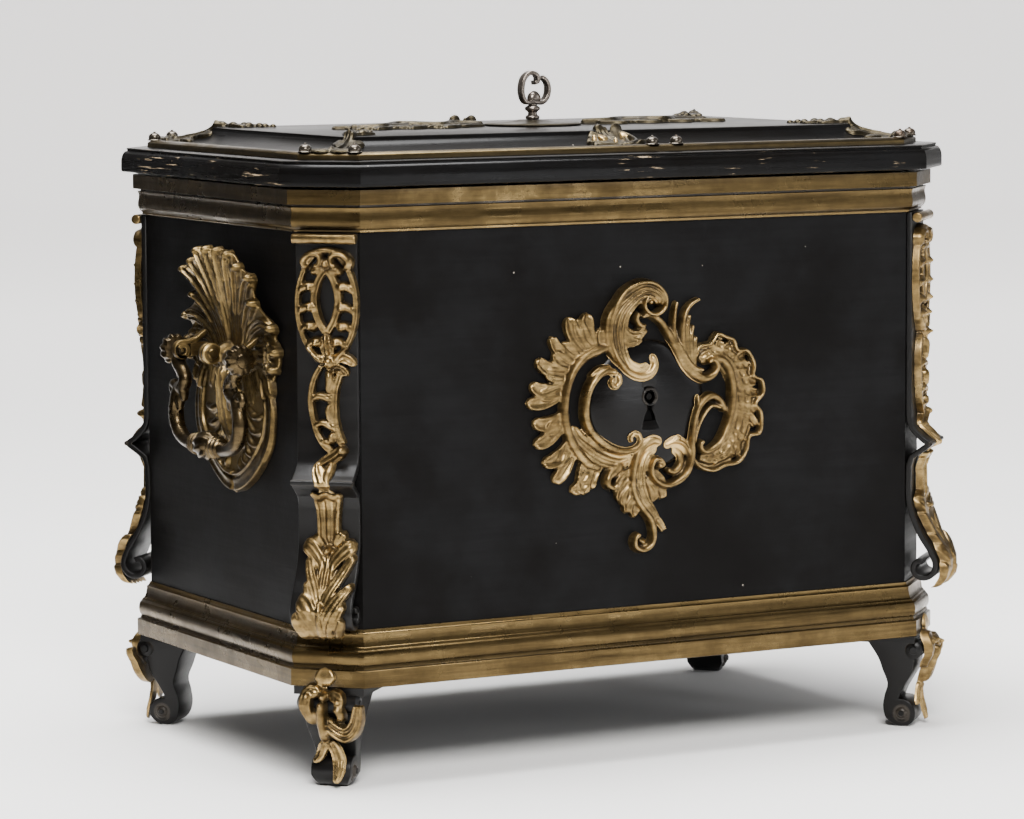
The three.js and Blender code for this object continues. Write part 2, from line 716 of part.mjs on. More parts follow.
// The asymmetric front ornament, drawn 235 wide and 238 high round a keyhole at [3, 222]: a C-scroll
// with leaves, a crest, a plume, a shell edge and a hanging leaf
function frontCartouche() {
  const high = even(CARTOUCHE_RELIEF);
  const channel = scroll(
    smooth([[-36, 262], [-54, 260], [-66, 247], [-71, 226], [-68, 206], [-58, 191], [-42, 180],
      [-26, 176], [-10, 180]], 10),
    swelling(7, 17, 7),
    high,
    CHANNEL,
  );
  const leaves = [
    [[[-50, 264], [-56, 282], [-58, 298], [-70, 302]], 11],
    [[[-62, 258], [-76, 272], [-90, 284], [-94, 286]], 9],
    [[[-70, 248], [-88, 260], [-104, 266], [-108, 262]], 9],
    [[[-76, 232], [-94, 242], [-110, 242], [-115, 232]], 9],
    [[[-78, 216], [-94, 216], [-108, 208], [-110, 196]], 9],
    [[[-70, 198], [-86, 192], [-98, 178], [-94, 164]], 10],
    [[[-56, 186], [-66, 174], [-72, 160], [-66, 150]], 9],
    [[[-44, 182], [-54, 168], [-56, 156], [-54, 148]], 8],
    [[[-20, 180], [-32, 168], [-36, 158], [-34, 154]], 6],
  ].map(([path, halfWidth]) => curledLeaf(path, halfWidth));
  const crest = [
    scroll(smooth([[4, 264], [5, 256], [-6, 250], [-20, 256], [-30, 272], [-33, 292], [-28, 312],
      [-14, 322], [2, 322]], 10), swelling(4, 16, 8), high),
    scroll(spiral(2, 311, 12, 4, 90, -250, 8), tapered(7, 3), high, RIDGED),
    scroll(smooth([[-26, 290], [-14, 284], [-2, 288], [2, 296]], 4), tapered(10, 3), high, RIDGED),
    scroll(smooth([[-4, 298], [8, 297], [20, 287], [32, 270], [44, 254], [58, 247], [70, 254]], 8),
      swelling(4, 6, 7), high),
    dome([2, 312], 5, CARTOUCHE_RELIEF + 2, 6),
  ];
  const plume = [
    [[36, 262], [28, 280], [28, 298], [31, 312]],
    [[38, 260], [34, 282], [40, 302], [53, 313]],
    [[40, 258], [40, 276], [46, 292]],
    [[42, 256], [46, 268], [52, 278]],
  ].map((path) => curledLeaf(path, 5));
  const rightRail = scroll(smooth([[60, 250], [72, 256], [82, 249], [86, 232], [85, 212], [78, 194],
    [68, 182], [56, 178]], 9), swelling(5, 6, 5), high);
  const shell = scroll(smooth([[52, 262], [66, 268], [82, 266], [94, 256], [103, 240], [106, 222],
    [103, 203], [94, 184], [80, 173], [62, 169], [50, 174]], 16),
    (t) => 11 + 2.5 * Math.cos(t * 16 * Math.PI), even(CARTOUCHE_RELIEF * 0.7), RIDGED);
  const innerLoop = scroll(smooth([[84, 208], [70, 225], [58, 222], [50, 208], [45, 190], [43, 174],
    [32, 158], [18, 153], [6, 160], [2, 172], [8, 180]], 11), swelling(4, 5, 5), high);
  const pendant = [
    scroll(smooth([[16, 190], [4, 190], [-8, 180], [-13, 162], [-10, 146], [-2, 132], [4, 118],
      [4, 104], [-4, 98]], 10), swelling(5, 11, 6), high),
    dome([-4, 104], 10, CARTOUCHE_RELIEF, 10),
    curledLeaf([[-4, 134], [6, 124], [14, 115], [18, 111]], 5),
    curledLeaf([[-8, 168], [-20, 158], [-28, 148], [-26, 140]], 8),
    curledLeaf([[-4, 146], [-14, 140], [-20, 132], [-12, 125]], 7),
    curledLeaf([[-6, 160], [8, 153], [16, 146], [14, 138]], 9),
    dome([10, 170], 7, CARTOUCHE_RELIEF + 1, 8),
  ];
  const hook = scroll(smooth([[-46, 258], [-36, 256], [-29, 248]], 4), tapered(6, 4), high, RIDGED);
  const volutes = [[-31, 246, 6], [-13, 189, 7], [57, 182, 7], [56, 222, 5]]
    .map(([x, z, radius]) => dome([x, z], radius, CARTOUCHE_RELIEF + 1, 6));
  const casting = joined(
    channel,
    ...leaves,
    ...crest,
    ...plume,
    rightRail,
    shell,
    innerLoop,
    ...pendant,
    hook,
    ...volutes,
  );
  const size = new THREE.Vector3(CARTOUCHE_WIDTH / 235, 1, CARTOUCHE_HEIGHT / 238);
  const seated = placed(casting, shift(KEYHOLE_X, 0, KEYHOLE_Z).scale(size).multiply(shift(-3, 0, -222)));
  return without(seated, facing(bossProfile(SEAT), [KEYHOLE_X, KEYHOLE_Z], 24));
}

function addFront() {
  const front = new THREE.Group();
  front.position.y = -BODY_DEPTH / 2 - SEAT;
  front.add(named("keyhole_boss", keyholeBoss(), BLACK_IRON));
  front.add(named("front_cartouche", frontCartouche(), GILT_MOUNT));
  box.add(front);
}

// The plate behind a handle, drawn 180 wide and 213 high about its pivots: a palmette above them and
// a shell below, with a lug and a pin on each side
function handlePlate() {
  const half = smooth([[0, 90], [14, 92], [32, 88], [44, 76], [56, 74], [54, 60], [60, 48], [72, 46],
    [70, 36], [84, 30], [82, 16], [90, 2], [82, -12], [80, -24], [88, -34], [86, -58], [74, -84],
    [52, -105], [24, -118], [0, -121]], 22);
  const mirrored = half.slice(1, -1).reverse().map(([x, z]) => [-x, z]);
  const sheet = upright(outline([...half, ...mirrored]), 0, 4);
  const ribs = [0, 22, 42, 62].flatMap((angle) =>
    (angle ? [-1, 1] : [1]).map((side) => {
      const lean = THREE.MathUtils.degToRad(angle * side);
      const reach = 84 - angle * 0.35;
      const tip = [Math.sin(lean) * reach, Math.cos(lean) * reach];
      const bend = [Math.sin(lean) * reach * 0.45, Math.cos(lean) * reach * 0.6];
      return scroll(smooth([[0, 0], bend, tip], 3), swelling(5, 14, 6), swelling(12, 14, 8), RIDGED);
    }),
  );
  const rim = [-1, 1].map((side) =>
    scroll(smooth([[side * 82, -34], [side * 80, -58], [side * 68, -82], [side * 46, -100],
      [side * 20, -112], [-side * 3, -115]], 7), even(4.5), even(9), RIDGED),
  );
  const husk = scroll(smooth([[0, -8], [0, -34], [0, -65], [0, -100]], 4), swelling(8, 26, 6),
    swelling(18, 12, 7), RIDGED);
  const boss = dome([0, 0], 15, 20, 8);
  const size = new THREE.Vector3(HANDLE_PLATE_WIDTH / 180, 1, HANDLE_PLATE_HEIGHT / 213);
  const cast = placed(joined(sheet, ...ribs, ...rim, husk, boss), shift(0, 0, pivotHeight).scale(size));
  const lugs = [-1, 1].map((side) => {
    const outer = side * (BAIL_HALF_WIDTH - 10);
    const inner = outer - side * LUG_THICKNESS;
    const span = [Math.min(inner, outer), Math.max(inner, outer)];
    const foot = block(span, [-PIVOT_OUT, 0], [pivotHeight - 9, pivotHeight + 9]);
    const round = rod(9, LUG_THICKNESS, "x", [(inner + outer) / 2, -PIVOT_OUT, pivotHeight], 10);
    const pin = rod(PIN_RADIUS, 14, "x", [outer + side * 5, -PIVOT_OUT, pivotHeight], 8);
    return joined(foot, round, pin);
  });
  return joined(cast, ...lugs);
}

// The bail: two S-shaped arms with an eye on each pin and a gadrooned knob at the bottom
function handleBail() {
  const low = pivotHeight - BAIL_DROP;
  const wide = BAIL_HALF_WIDTH;
  const right = [[wide - 4, pivotHeight - 5], [wide - 4, pivotHeight - 14], [wide - 9, low + 56],
    [wide, low + 46], [wide - 1, low + 26], [wide - 10, low + 10], [wide - 32, low + 2], [12, low]];
  const arms = [-1, 1].map((side) =>
    bar(smooth(right.map(([x, z]) => [side * x, z]), 10), even(BAIL_THICKNESS / 2), 6),
  );
  const knobProfile = [[0, -15], [7, -15], [KNOB_RADIUS, -6], [KNOB_RADIUS, 6], [7, 15], [0, 15]];
  const knob = placed(
    turned(knobProfile, [0, 0, 0], 10),
    shift(0, 0, low).multiply(new THREE.Matrix4().makeRotationY(Math.PI / 2)),
  );
  const eyes = [-1, 1].map((side) => {
    const inner = wide - 10 + SEAT;
    const middle = (side * (inner + wide)) / 2;
    return rod(EYE_RADIUS, wide - inner, "x", [middle, 0, pivotHeight], 12);
  });
  const curls = [-1, 1].map((side) => rod(5.5, 12, "y", [side * (wide + 5), 0, low + 49], 8));
  const bores = [-1, 1].map((side) =>
    rod(PIN_RADIUS + 2 * SEAT, 16, "x", [side * (wide - 5), 0, pivotHeight], 8),
  );
  return without(joined(...arms, knob, ...eyes, ...curls), ...bores);
}

function addHandles() {
  const plate = handlePlate();
  const bail = handleBail();
  for (const [name, side] of [["left", -1], ["right", 1]]) {
    const group = new THREE.Group();
    group.position.set(side * (BODY_WIDTH / 2 + SEAT), -HANDLE_OFFSET, 0);
    group.rotation.z = (side * Math.PI) / 2;
    group.add(named(`handle_plate_${name}`, plate, HANDLE_BRASS));
    const hung = named(`handle_bail_${name}`, bail, HANDLE_BRASS);
    hung.position.y = -PIVOT_OUT;
    group.add(hung);
    box.add(group);
  }
}

// Butt hinges at the back. The leaf on the case runs inside the back plate and out through a slot;
// the leaf on the lid is a tenon let into the lid's edge.
const knuckle = (HINGE_WIDTH - 2 * SEAT) / 3;

function hingeBarrel(x, length) {
  return rod(HINGE_RADIUS, length, "x", [x, hingeY, hingeZ], 10);
}

function hingeBore(x) {
  return rod(HINGE_PIN + 1.5 * SEAT, HINGE_WIDTH + 2, "x", [x, hingeY, hingeZ], 8);
}

function caseHingeLeaf(x) {
  const half = HINGE_WIDTH / 2;
  const inside = BODY_DEPTH / 2 - PLATE - SEAT;
  const bottom = hingeLeafBottom();
  const top = bottom + HINGE_LEAF;
  const neck = hingeY - HINGE_RADIUS - SEAT;
  const plate = block([x - half, x + half], [inside - HINGE_LEAF, inside], [top - HINGE_LENGTH, top]);
  const tongue = block([x - half, x + half], [inside - HINGE_LEAF, neck], [bottom, top]);
  const knuckles = [-1, 1].flatMap((side) => {
    const middle = x + side * (half - knuckle / 2);
    const span = [middle - knuckle / 2, middle + knuckle / 2];
    return [hingeBarrel(middle, knuckle), block(span, [neck - 1, hingeY], [bottom, top])];
  });
  return without(joined(plate, tongue, ...knuckles), hingeBore(x));
}

function tenon(x, grow) {
  const half = HINGE_WIDTH / 2 + grow;
  const thick = HINGE_LEAF / 2 + grow;
  const from = lidUnder + SEAT - 4 * grow;
  return block([x - half, x + half], [hingeY - thick, hingeY + thick], [from, lidUnder + HINGE_TENON + grow]);
}

function lidHingeLeaf(x) {
  const web = block(
    [x - knuckle / 2, x + knuckle / 2],
    [hingeY - HINGE_LEAF / 2, hingeY + HINGE_LEAF / 2],
    [hingeZ, lidUnder + HINGE_TENON],
  );
  return without(joined(tenon(x, 0), web, hingeBarrel(x, knuckle)), hingeBore(x));
}

function addHinges(lid) {
  for (const [name, x] of [["left", -hingeX], ["right", hingeX]]) {
    const pin = rod(HINGE_PIN, HINGE_WIDTH, "x", [x, hingeY, hingeZ], 8);
    box.add(named(`hinge_leaf_case_${name}`, caseHingeLeaf(x), BARE_IRON));
    box.add(named(`hinge_pin_${name}`, pin, BARE_IRON));
    lid.add(named(`hinge_leaf_lid_${name}`, lidHingeLeaf(x), BARE_IRON));
  }
}

// The lid's edge, a hollow frame with a rounded edge
function lidFrame() {
  const skirt = 4;
  const nose = arc(LID_OVERHANG - 4, lidUnder + 9, 4, 7, -60, 60, 5);
  const frame = moulding([
    [skirt + SEAT, lidUnder],
    [LID_OVERHANG - 1.5, lidUnder],
    ...nose,
    [LID_OVERHANG - 5, lidTop - 3],
    [LID_OVERHANG - 6, lidTop],
    [-30, lidTop],
    [-30, lidTop - LID_SHEET],
    [skirt + SEAT, lidTop - LID_SHEET],
  ]);
  return without(frame, tenon(-hingeX, SEAT), tenon(hingeX, SEAT));
}

const panelFoot = LID_OVERHANG - PANEL_INSET;

function coveArc(shiftIn, shiftDown, steps = 5) {
  const base = lidTop + SEAT + LID_SHEET;
  const rise = panelTop - base;
  return arc(panelFoot - shiftIn, panelTop - shiftDown, COVE_RUN, rise, 270, 180, steps);
}

// The slots through which the key's bit passes, pointing to the front as the key does at rest
function keyway(clear, from, to) {
  const pin = rod(KEY_PIN + clear, to - from, "z", [0, 0, (from + to) / 2], 14);
  const half = BIT_THICKNESS / 2 + clear;
  return pin.add(block([-half, half], [-BIT_REACH - clear, 0], [from, to]));
}

function lidPanel() {
  const under = coveArc(LID_SHEET, LID_SHEET).reverse();
  const over = coveArc(0, 0);
  const shell = layered([
    ...under,
    [panelFoot + 2, lidTop + SEAT],
    [panelFoot + 2, lidTop + SEAT + LID_SHEET],
    ...over,
  ]);
  return without(shell, keyway(2 * KEY_CLEAR, panelTop - 2 * LID_SHEET, panelTop + LID_SHEET));
}

// The flat strap round the lid with its rivets, two at each corner and two midway on each side
function lidBand() {
  const outer = LID_OVERHANG - BAND_INSET;
  const inner = outer - BAND_WIDTH;
  const bottom = lidTop + SEAT;
  const top = bottom + BAND_THICKNESS;
  const strip = moulding([[outer, bottom], [outer, top], [inner, top], [inner, bottom]]);
  const middle = octagon((outer + inner) / 2);
  const studs = middle.flatMap(([x0, y0], i) => {
    const [x1, y1] = middle[(i + 1) % middle.length];
    const length = Math.hypot(x1 - x0, y1 - y0);
    const long = length > 2 * CORNER_CUT;
    const places = long ? [16, length / 2 - 15, length / 2 + 15, length - 16] : [length / 2];
    return places.map((along) => [
      x0 + ((x1 - x0) * along) / length,
      y0 + ((y1 - y0) * along) / length,
    ]);
  });
  const profile = [[0, -1], [STUD_RADIUS, -1], [STUD_RADIUS * 0.8, STUD_HEIGHT * 0.7], [0, STUD_HEIGHT]];
  return joined(strip, ...studs.map(([x, y]) => turned(profile, [x, y, top], 6)));
}

// A leaf that climbs the cove of the lid and runs on along its flat top. Its half widths are given
// from the foot of the cove to the tip.
function coveLeaf(halfWidths, reach) {
  const cove = coveArc(0, 0);
  const foot = lidTop + 2 * SEAT + LID_SHEET;
  const onTop = halfWidths.length - cove.length;
  const top = Array.from({ length: onTop }, (_, i) => [
    panelFoot - COVE_RUN - (reach * (i + 1)) / onTop,
    panelTop,
  ]);
  const path = [[panelFoot + 1.5, foot], ...cove.slice(1), ...top];
  const side = normals(path);
  const lift = [[-1, 0], [-1, 0.4], [0, 1], [1, 0.4], [1, 0]];
  const rows = path.map(([out, z], i) => {
    const half = halfWidths[i];
    const curl = i === path.length - 1 ? 0.6 : 1;
    return lift.map(([across, up]) => {
      const off = 2 * SEAT + up * LID_MOUNT_RELIEF * curl;
      return [across * half, -(out - side[i][0] * off), z - side[i][1] * off];
    });
  });
  return lofted(rows, lift);
}

// A spray of leaves on the flat top, drawn 132 long from the key plate outwards
function lidSpray() {
  const relief = tapered(LID_MOUNT_RELIEF, LID_MOUNT_RELIEF * 0.4);
  const stem = scroll(smooth([[0, 0], [36, 9], [78, -5], [126, 5]], 7), swelling(4, 12, 2), relief, RIDGED);
  const blades = [
    [[14, 2], [32, -13], [50, -20]],
    [[40, 8], [58, 22], [80, 26]],
    [[68, 0], [86, -15], [104, -19]],
    [[92, -2], [108, 13], [132, 20]],
  ].map((path) => scroll(smooth(path, 3), swelling(4, 12, 1), relief, RIDGED));
  const length = new THREE.Vector3(SPRAY_LENGTH / 132, 1, 1);
  return placed(joined(stem, ...blades), shift(KEY_PLATE_RADIUS + SPRAY_GAP, 0, 0).scale(length));
}

function keyPlate() {
  const rise = KEY_PLATE_RISE;
  const rim = KEY_PLATE_RADIUS;
  const profile = [[0, 0], [rim, 0], [rim, rise * 0.25], [rim * 0.75, rise * 0.4], [rim * 0.4, rise * 0.8],
    [rim * 0.3, rise], [0, rise]];
  const plate = turned(profile, [0, 0, panelTop + SEAT], 16);
  return without(plate, keyway(2 * KEY_CLEAR, panelTop, keyPlateTop + 1));
}

// The plate under the lid that carries the lock, a shallow tray with a staple over each bolt
function lockPlate() {
  const tray = layered([
    [-lockInset, lockUnder],
    [-lockInset, lidUnder],
    [4, lidUnder],
    [4, lidUnder + LOCK_PLATE],
    [-lockInset - LOCK_PLATE, lidUnder + LOCK_PLATE],
    [-lockInset - LOCK_PLATE, lockUnder + LOCK_PLATE],
  ]);
  const staples = BOLTS.flatMap(({ turn, level, reach }) =>
    [0.36, 0.76].map((share) => {
      const made = staple(share * (reach - NOSE_LENGTH), level);
      return placed(made, turnZ(turn));
    }),
  );
  const bearing = rod(HUB_RADIUS + SEAT + 0.1, 4 * LOCK_PLATE, "z", [0, 0, lockUnder + LOCK_PLATE / 2], 20);
  return without(joined(tray, ...staples), bearing);
}

function staple(distance, level) {
  const inner = -rackRoot - BOLT_WIDTH - SEAT;
  const outer = -rackRoot + SEAT;
  const along = [-distance - STAPLE_LENGTH / 2, -distance + STAPLE_LENGTH / 2];
  const under = level - SEAT;
  return joined(
    block([inner - STAPLE, inner], along, [under - STAPLE, lockUnder + 1]),
    block([outer, outer + STAPLE], along, [under - STAPLE, lockUnder + 1]),
    block([inner - STAPLE, outer + STAPLE], along, [under - STAPLE, under]),
  );
}

// Gear and rack teeth share one pitch, pressure angle and depth
const toothPitch = Math.PI * TOOTH_MODULE;
const addendum = 0.95 * TOOTH_MODULE;
const dedendum = 1.2 * TOOTH_MODULE;
const rackRoot = pitchRadius + dedendum;
const toothWidth = toothPitch / 2 - BACKLASH / 2;

const BOLTS = [
  ["front", 0, lowerBolt, BODY_DEPTH, NOSE_PITCH_FRONT, 0.5],
  ["right", 90, upperBolt, BODY_WIDTH, NOSE_PITCH_SIDE, 0],
  ["back", 180, lowerBolt, BODY_DEPTH, NOSE_PITCH_FRONT, 0.5],
  ["left", 270, upperBolt, BODY_WIDTH, NOSE_PITCH_SIDE, 0],
].map(([name, turn, level, size, pitch, phase]) => ({
  name, turn, level, pitch, phase, reach: boltReach(size),
}));

// How far the noses reach from the middle with the bolts drawn back
function boltReach(size) {
  return size / 2 - PLATE - SEAT - LEDGE_WIDTH - NOSE_CLEAR;
}

// A T-shaped bolt that slides towards -Y: rack, stem, cross bar and three noses
function bolt({ reach, pitch, phase, level }) {
  const tail = 28;
  const shoulder = reach - NOSE_LENGTH;
  const half = pitch + NOSE_WIDTH / 2;
  const slant = Math.tan(PRESSURE_ANGLE);
  const tip = toothWidth / 2 - addendum * slant;
  const root = toothWidth / 2 + dedendum * slant;
  const teeth = [];
  for (let k = -1; k * toothPitch < tail - toothPitch; k += 1) {
    const y = (k + phase) * toothPitch;
    teeth.push([-rackRoot, y - root], [-pitchRadius + addendum, y - tip]);
    teeth.push([-pitchRadius + addendum, y + tip], [-rackRoot, y + root]);
  }
  const bottom = -rackRoot - BOLT_WIDTH;
  const stem = [[-rackRoot, tail], [bottom, tail], [bottom, -shoulder], [-rackRoot, -shoulder]];
  const shape = outline([...teeth, ...stem]);
  const cross = block([-half, half], [-shoulder, -shoulder + BOLT_WIDTH], [level, level + BOLT_THICKNESS]);
  const noses = [-pitch, 0, pitch].map((x) =>
    block(
      [x - NOSE_WIDTH / 2, x + NOSE_WIDTH / 2],
      [-reach, -shoulder + BOLT_WIDTH / 2],
      [level, level + BOLT_THICKNESS],
    ),
  );
  return joined(flat(shape, level, level + BOLT_THICKNESS), cross, ...noses);
}

// Half the angle of a gear tooth at a radius, on an involute flank
function toothAngle(radius) {
  const base = pitchRadius * Math.cos(PRESSURE_ANGLE);
  const involute = (angle) => Math.tan(angle) - angle;
  const atRadius = Math.acos(Math.min(1, base / radius));
  return toothWidth / (2 * pitchRadius) + involute(PRESSURE_ANGLE) - involute(atRadius);
}

function lockPinion() {
  const tip = pitchRadius + addendum;
  const flank = [pitchRadius - dedendum, pitchRadius, tip];
  const points = [];
  for (let tooth = 0; tooth < TEETH; tooth += 1) {
    const middle = (2 * Math.PI * tooth) / TEETH;
    const rising = flank.map((r) => [r, middle - toothAngle(r)]);
    const falling = flank.map((r) => [r, middle + toothAngle(r)]).reverse();
    points.push(...[...rising, ...falling].map(([r, a]) => [r * Math.cos(a), r * Math.sin(a)]));
  }
  const top = lockUnder - SEAT;
  const wheel = flat(outline(points), lowerBolt - SEAT, top);
  const hubTop = lockUnder + LOCK_PLATE;
  const hub = rod(HUB_RADIUS, hubTop - top + 2, "z", [0, 0, (hubTop + top - 2) / 2], 20);
  return without(joined(wheel, hub), keyway(KEY_CLEAR, lowerBolt - 1, hubTop + 1));
}

// The bridge that carries the pinion and the key from below
function lockBridge() {
  const arm = 7;
  const low = [bridgeTop - STAPLE, bridgeTop];
  const parts = [block([-BRIDGE_REACH, BRIDGE_REACH], [-arm, arm], low)];
  for (const side of [-1, 1]) {
    const at = (a, b) => [Math.min(side * a, side * b), Math.max(side * a, side * b)];
    const reach = BRIDGE_REACH;
    parts.push(block(at(reach - 5, reach), [-arm, arm], [low[0], lockUnder - SEAT]));
    parts.push(block(at(reach - 1, reach + 12), [-arm, arm], [lockUnder - SEAT - STAPLE, lockUnder - SEAT]));
  }
  return placed(joined(...parts), turnZ(45));
}

// The key: a pin with its bit in the pinion, a turned collar above the key plate and a bow
function key() {
  const bottom = bridgeTop + SEAT;
  const collar = keyPlateTop + SEAT;
  const neck = collar + KEY_NECK;
  const stem = turned([[0, bottom], [KEY_PIN, bottom], [KEY_PIN, collar], [6.3, collar], [6.3, collar + 3],
    [4.2, collar + 5], [4.2, collar + 7.5], [6.8, collar + 9], [6.8, collar + 11], [3.4, neck],
    [0, neck]], [0, 0, 0], 12);
  const bit = block(
    [-BIT_THICKNESS / 2, BIT_THICKNESS / 2],
    [-BIT_REACH, 0],
    [bottom + 1, bottom + 1 + BIT_HEIGHT],
  );
  const bow = bar(smooth([[0, neck - 1], [-7, neck + 4], [-9, neck + 14], [-4, neck + 24], [5, neck + 27],
    [13, neck + 22], [14, neck + 12], [9, neck + 6], [4, neck + 10]], 14), even(BOW_THICKNESS / 2), 6);
  return joined(stem, bit, bow);
}

function addLid() {
  const lid = new THREE.Group();
  box.add(lid);
  addHinges(lid);
  lid.add(named("lid_frame", lidFrame(), BLACK_IRON));
  lid.add(named("lid_panel", lidPanel(), BLACK_IRON));
  lid.add(named("lid_band", lidBand(), DARK_BRONZE));
  for (const corner of CORNERS) {
    const group = cornerGroup(corner);
    const leaf = coveLeaf([7, 14, 17, 15, 15, 11, 8, 5, 8, 5, 3], CORNER_BUD_LENGTH);
    group.add(named(`lid_leaf_${corner[0]}`, leaf, DARK_BRONZE));
    lid.add(group);
  }
  for (const [name, side, turn] of [["front", -1, 0], ["back", 1, 180]]) {
    const shell = named(`lid_shell_${name}`, coveLeaf([9, 14, 12, 15, 11, 12, 6], 9), GILT_MOUNT);
    shell.position.y = (side * BODY_DEPTH) / 2;
    shell.rotation.z = THREE.MathUtils.degToRad(turn);
    lid.add(shell);
  }
  for (const [name, turn] of [["right", 0], ["left", 180]]) {
    const spray = named(`lid_spray_${name}`, lidSpray(), DARK_BRONZE);
    spray.position.z = panelTop + SEAT;
    spray.rotation.set(-Math.PI / 2, 0, THREE.MathUtils.degToRad(turn), "ZYX");
    lid.add(spray);
  }
  lid.add(named("key_plate", keyPlate(), DARK_BRONZE));
  lid.add(named("lock_plate", lockPlate(), BARE_IRON));
  lid.add(named("lock_bridge", lockBridge(), BARE_IRON));
  lid.add(named("lock_pinion", lockPinion(), BARE_IRON));
  lid.add(named("key", key(), BARE_IRON));
  for (const each of BOLTS) {
    const mesh = named(`bolt_${each.name}`, bolt(each), BARE_IRON);
    mesh.rotation.z = THREE.MathUtils.degToRad(each.turn);
    lid.add(mesh);
  }
}

addCase();
addCorners();
addFront();
addHandles();
addLid();

export default strongbox;
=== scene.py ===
# An iron strongbox on scroll feet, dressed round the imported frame. The sections follow the order
# in which the box is put together, and the last one is the studio. Sizes in metres, +Z up, the
# front towards -Y. Ornament is drawn in millimetres on the face that carries it.
import math

import bmesh
import bpy
from mathutils import Matrix, Vector


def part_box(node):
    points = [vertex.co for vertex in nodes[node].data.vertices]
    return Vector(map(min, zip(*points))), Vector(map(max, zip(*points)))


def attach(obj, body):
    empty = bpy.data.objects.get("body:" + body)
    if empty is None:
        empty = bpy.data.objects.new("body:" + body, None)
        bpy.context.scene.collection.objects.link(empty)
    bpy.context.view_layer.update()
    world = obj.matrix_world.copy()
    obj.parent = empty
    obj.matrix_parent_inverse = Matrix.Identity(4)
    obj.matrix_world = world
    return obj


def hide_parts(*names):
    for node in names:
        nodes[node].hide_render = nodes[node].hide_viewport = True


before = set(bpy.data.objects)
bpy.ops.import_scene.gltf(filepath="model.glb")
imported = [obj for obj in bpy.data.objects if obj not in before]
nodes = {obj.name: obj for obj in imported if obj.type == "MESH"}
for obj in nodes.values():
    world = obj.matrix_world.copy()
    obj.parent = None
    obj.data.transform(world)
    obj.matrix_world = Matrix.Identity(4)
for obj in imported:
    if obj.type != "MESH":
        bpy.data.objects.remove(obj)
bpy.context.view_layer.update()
bpy.ops.object.select_all(action="DESELECT")

# ---- Case plates
# The case is folded and riveted from 4 mm iron plate, blackened and waxed. Fine rolling marks run
# along it, with faint brown stains and a few pale specks where the black has gone.
MM = 0.001


def place(tree, kind, values=None, **settings):
    """Adds a shader node, sets its properties and the values of its sockets."""
    made = tree.nodes.new(kind)
    for key, value in settings.items():
        setattr(made, key, value)
    for key, value in (values or {}).items():
        made.inputs[key].default_value = value
    return made


def wire(tree, *links):
    """Joins nodes, each link as (node, its output, node, its input)."""
    for source, output, target, entry in links:
        tree.links.new(source.outputs[output], target.inputs[entry])


def effect(name, inputs):
    """An empty node group from float inputs to one value, for an effect that finishes share."""
    tree = bpy.data.node_groups.new(name, "ShaderNodeTree")
    for key, value in inputs.items():
        made = tree.interface.new_socket(key, in_out="INPUT", socket_type="NodeSocketFloat")
        made.default_value = value
    tree.interface.new_socket("Value", in_out="OUTPUT", socket_type="NodeSocketFloat")
    return tree, tree.nodes.new("NodeGroupInput"), tree.nodes.new("NodeGroupOutput")


def use(tree, group, **values):
    """Puts a shared effect into a material and gives its value."""
    made = tree.nodes.new("ShaderNodeGroup")
    made.node_tree = group
    for key, value in values.items():
        made.inputs[key].default_value = value
    return made.outputs["Value"]


def build_grain():
    """Streaks drawn out along the plates and thin across their height."""
    tree, given, out = effect("rolled_grain", {"Fine": 260.0, "Long": 9.0})
    where = place(tree, "ShaderNodeTexCoord")
    scale = place(tree, "ShaderNodeCombineXYZ")
    mapping = place(tree, "ShaderNodeMapping")
    noise = place(tree, "ShaderNodeTexNoise", {"Scale": 1.0, "Detail": 5.0, "Roughness": 0.65})
    wire(tree, (given, "Long", scale, "X"), (given, "Long", scale, "Y"), (given, "Fine", scale, "Z"),
         (where, "Object", mapping, "Vector"), (scale, "Vector", mapping, "Scale"),
         (mapping, "Vector", noise, "Vector"), (noise, "Fac", out, "Value"))
    return tree


def build_patches():
    """Soft-edged patches: 1 inside them, 0 outside."""
    tree, given, out = effect("patches", {"Scale": 20.0, "From": 0.5, "To": 0.6})
    where = place(tree, "ShaderNodeTexCoord")
    noise = place(tree, "ShaderNodeTexNoise", {"Detail": 7.0, "Roughness": 0.62})
    spread = place(tree, "ShaderNodeMapRange", interpolation_type="SMOOTHSTEP")
    wire(tree, (where, "Object", noise, "Vector"), (given, "Scale", noise, "Scale"),
         (noise, "Fac", spread, "Value"), (given, "From", spread, "From Min"),
         (given, "To", spread, "From Max"), (spread, "Result", out, "Value"))
    return tree


def build_specks():
    """Sparse small round spots: Size is a spot's share of its cell, Few its rarity."""
    tree, given, out = effect("specks", {"Scale": 60.0, "Size": 0.12, "Few": 0.8})
    where = place(tree, "ShaderNodeTexCoord")
    cells = place(tree, "ShaderNodeTexVoronoi")
    small = place(tree, "ShaderNodeMath", operation="LESS_THAN")
    colour = place(tree, "ShaderNodeSeparateColor")
    rare = place(tree, "ShaderNodeMath", operation="GREATER_THAN")
    both = place(tree, "ShaderNodeMath", operation="MULTIPLY")
    wire(tree, (where, "Object", cells, "Vector"), (given, "Scale", cells, "Scale"),
         (cells, "Distance", small, 0), (given, "Size", small, 1), (cells, "Color", colour, "Color"),
         (colour, "Red", rare, 0), (given, "Few", rare, 1), (small, "Value", both, 0),
         (rare, "Value", both, 1), (both, "Value", out, "Value"))
    return tree


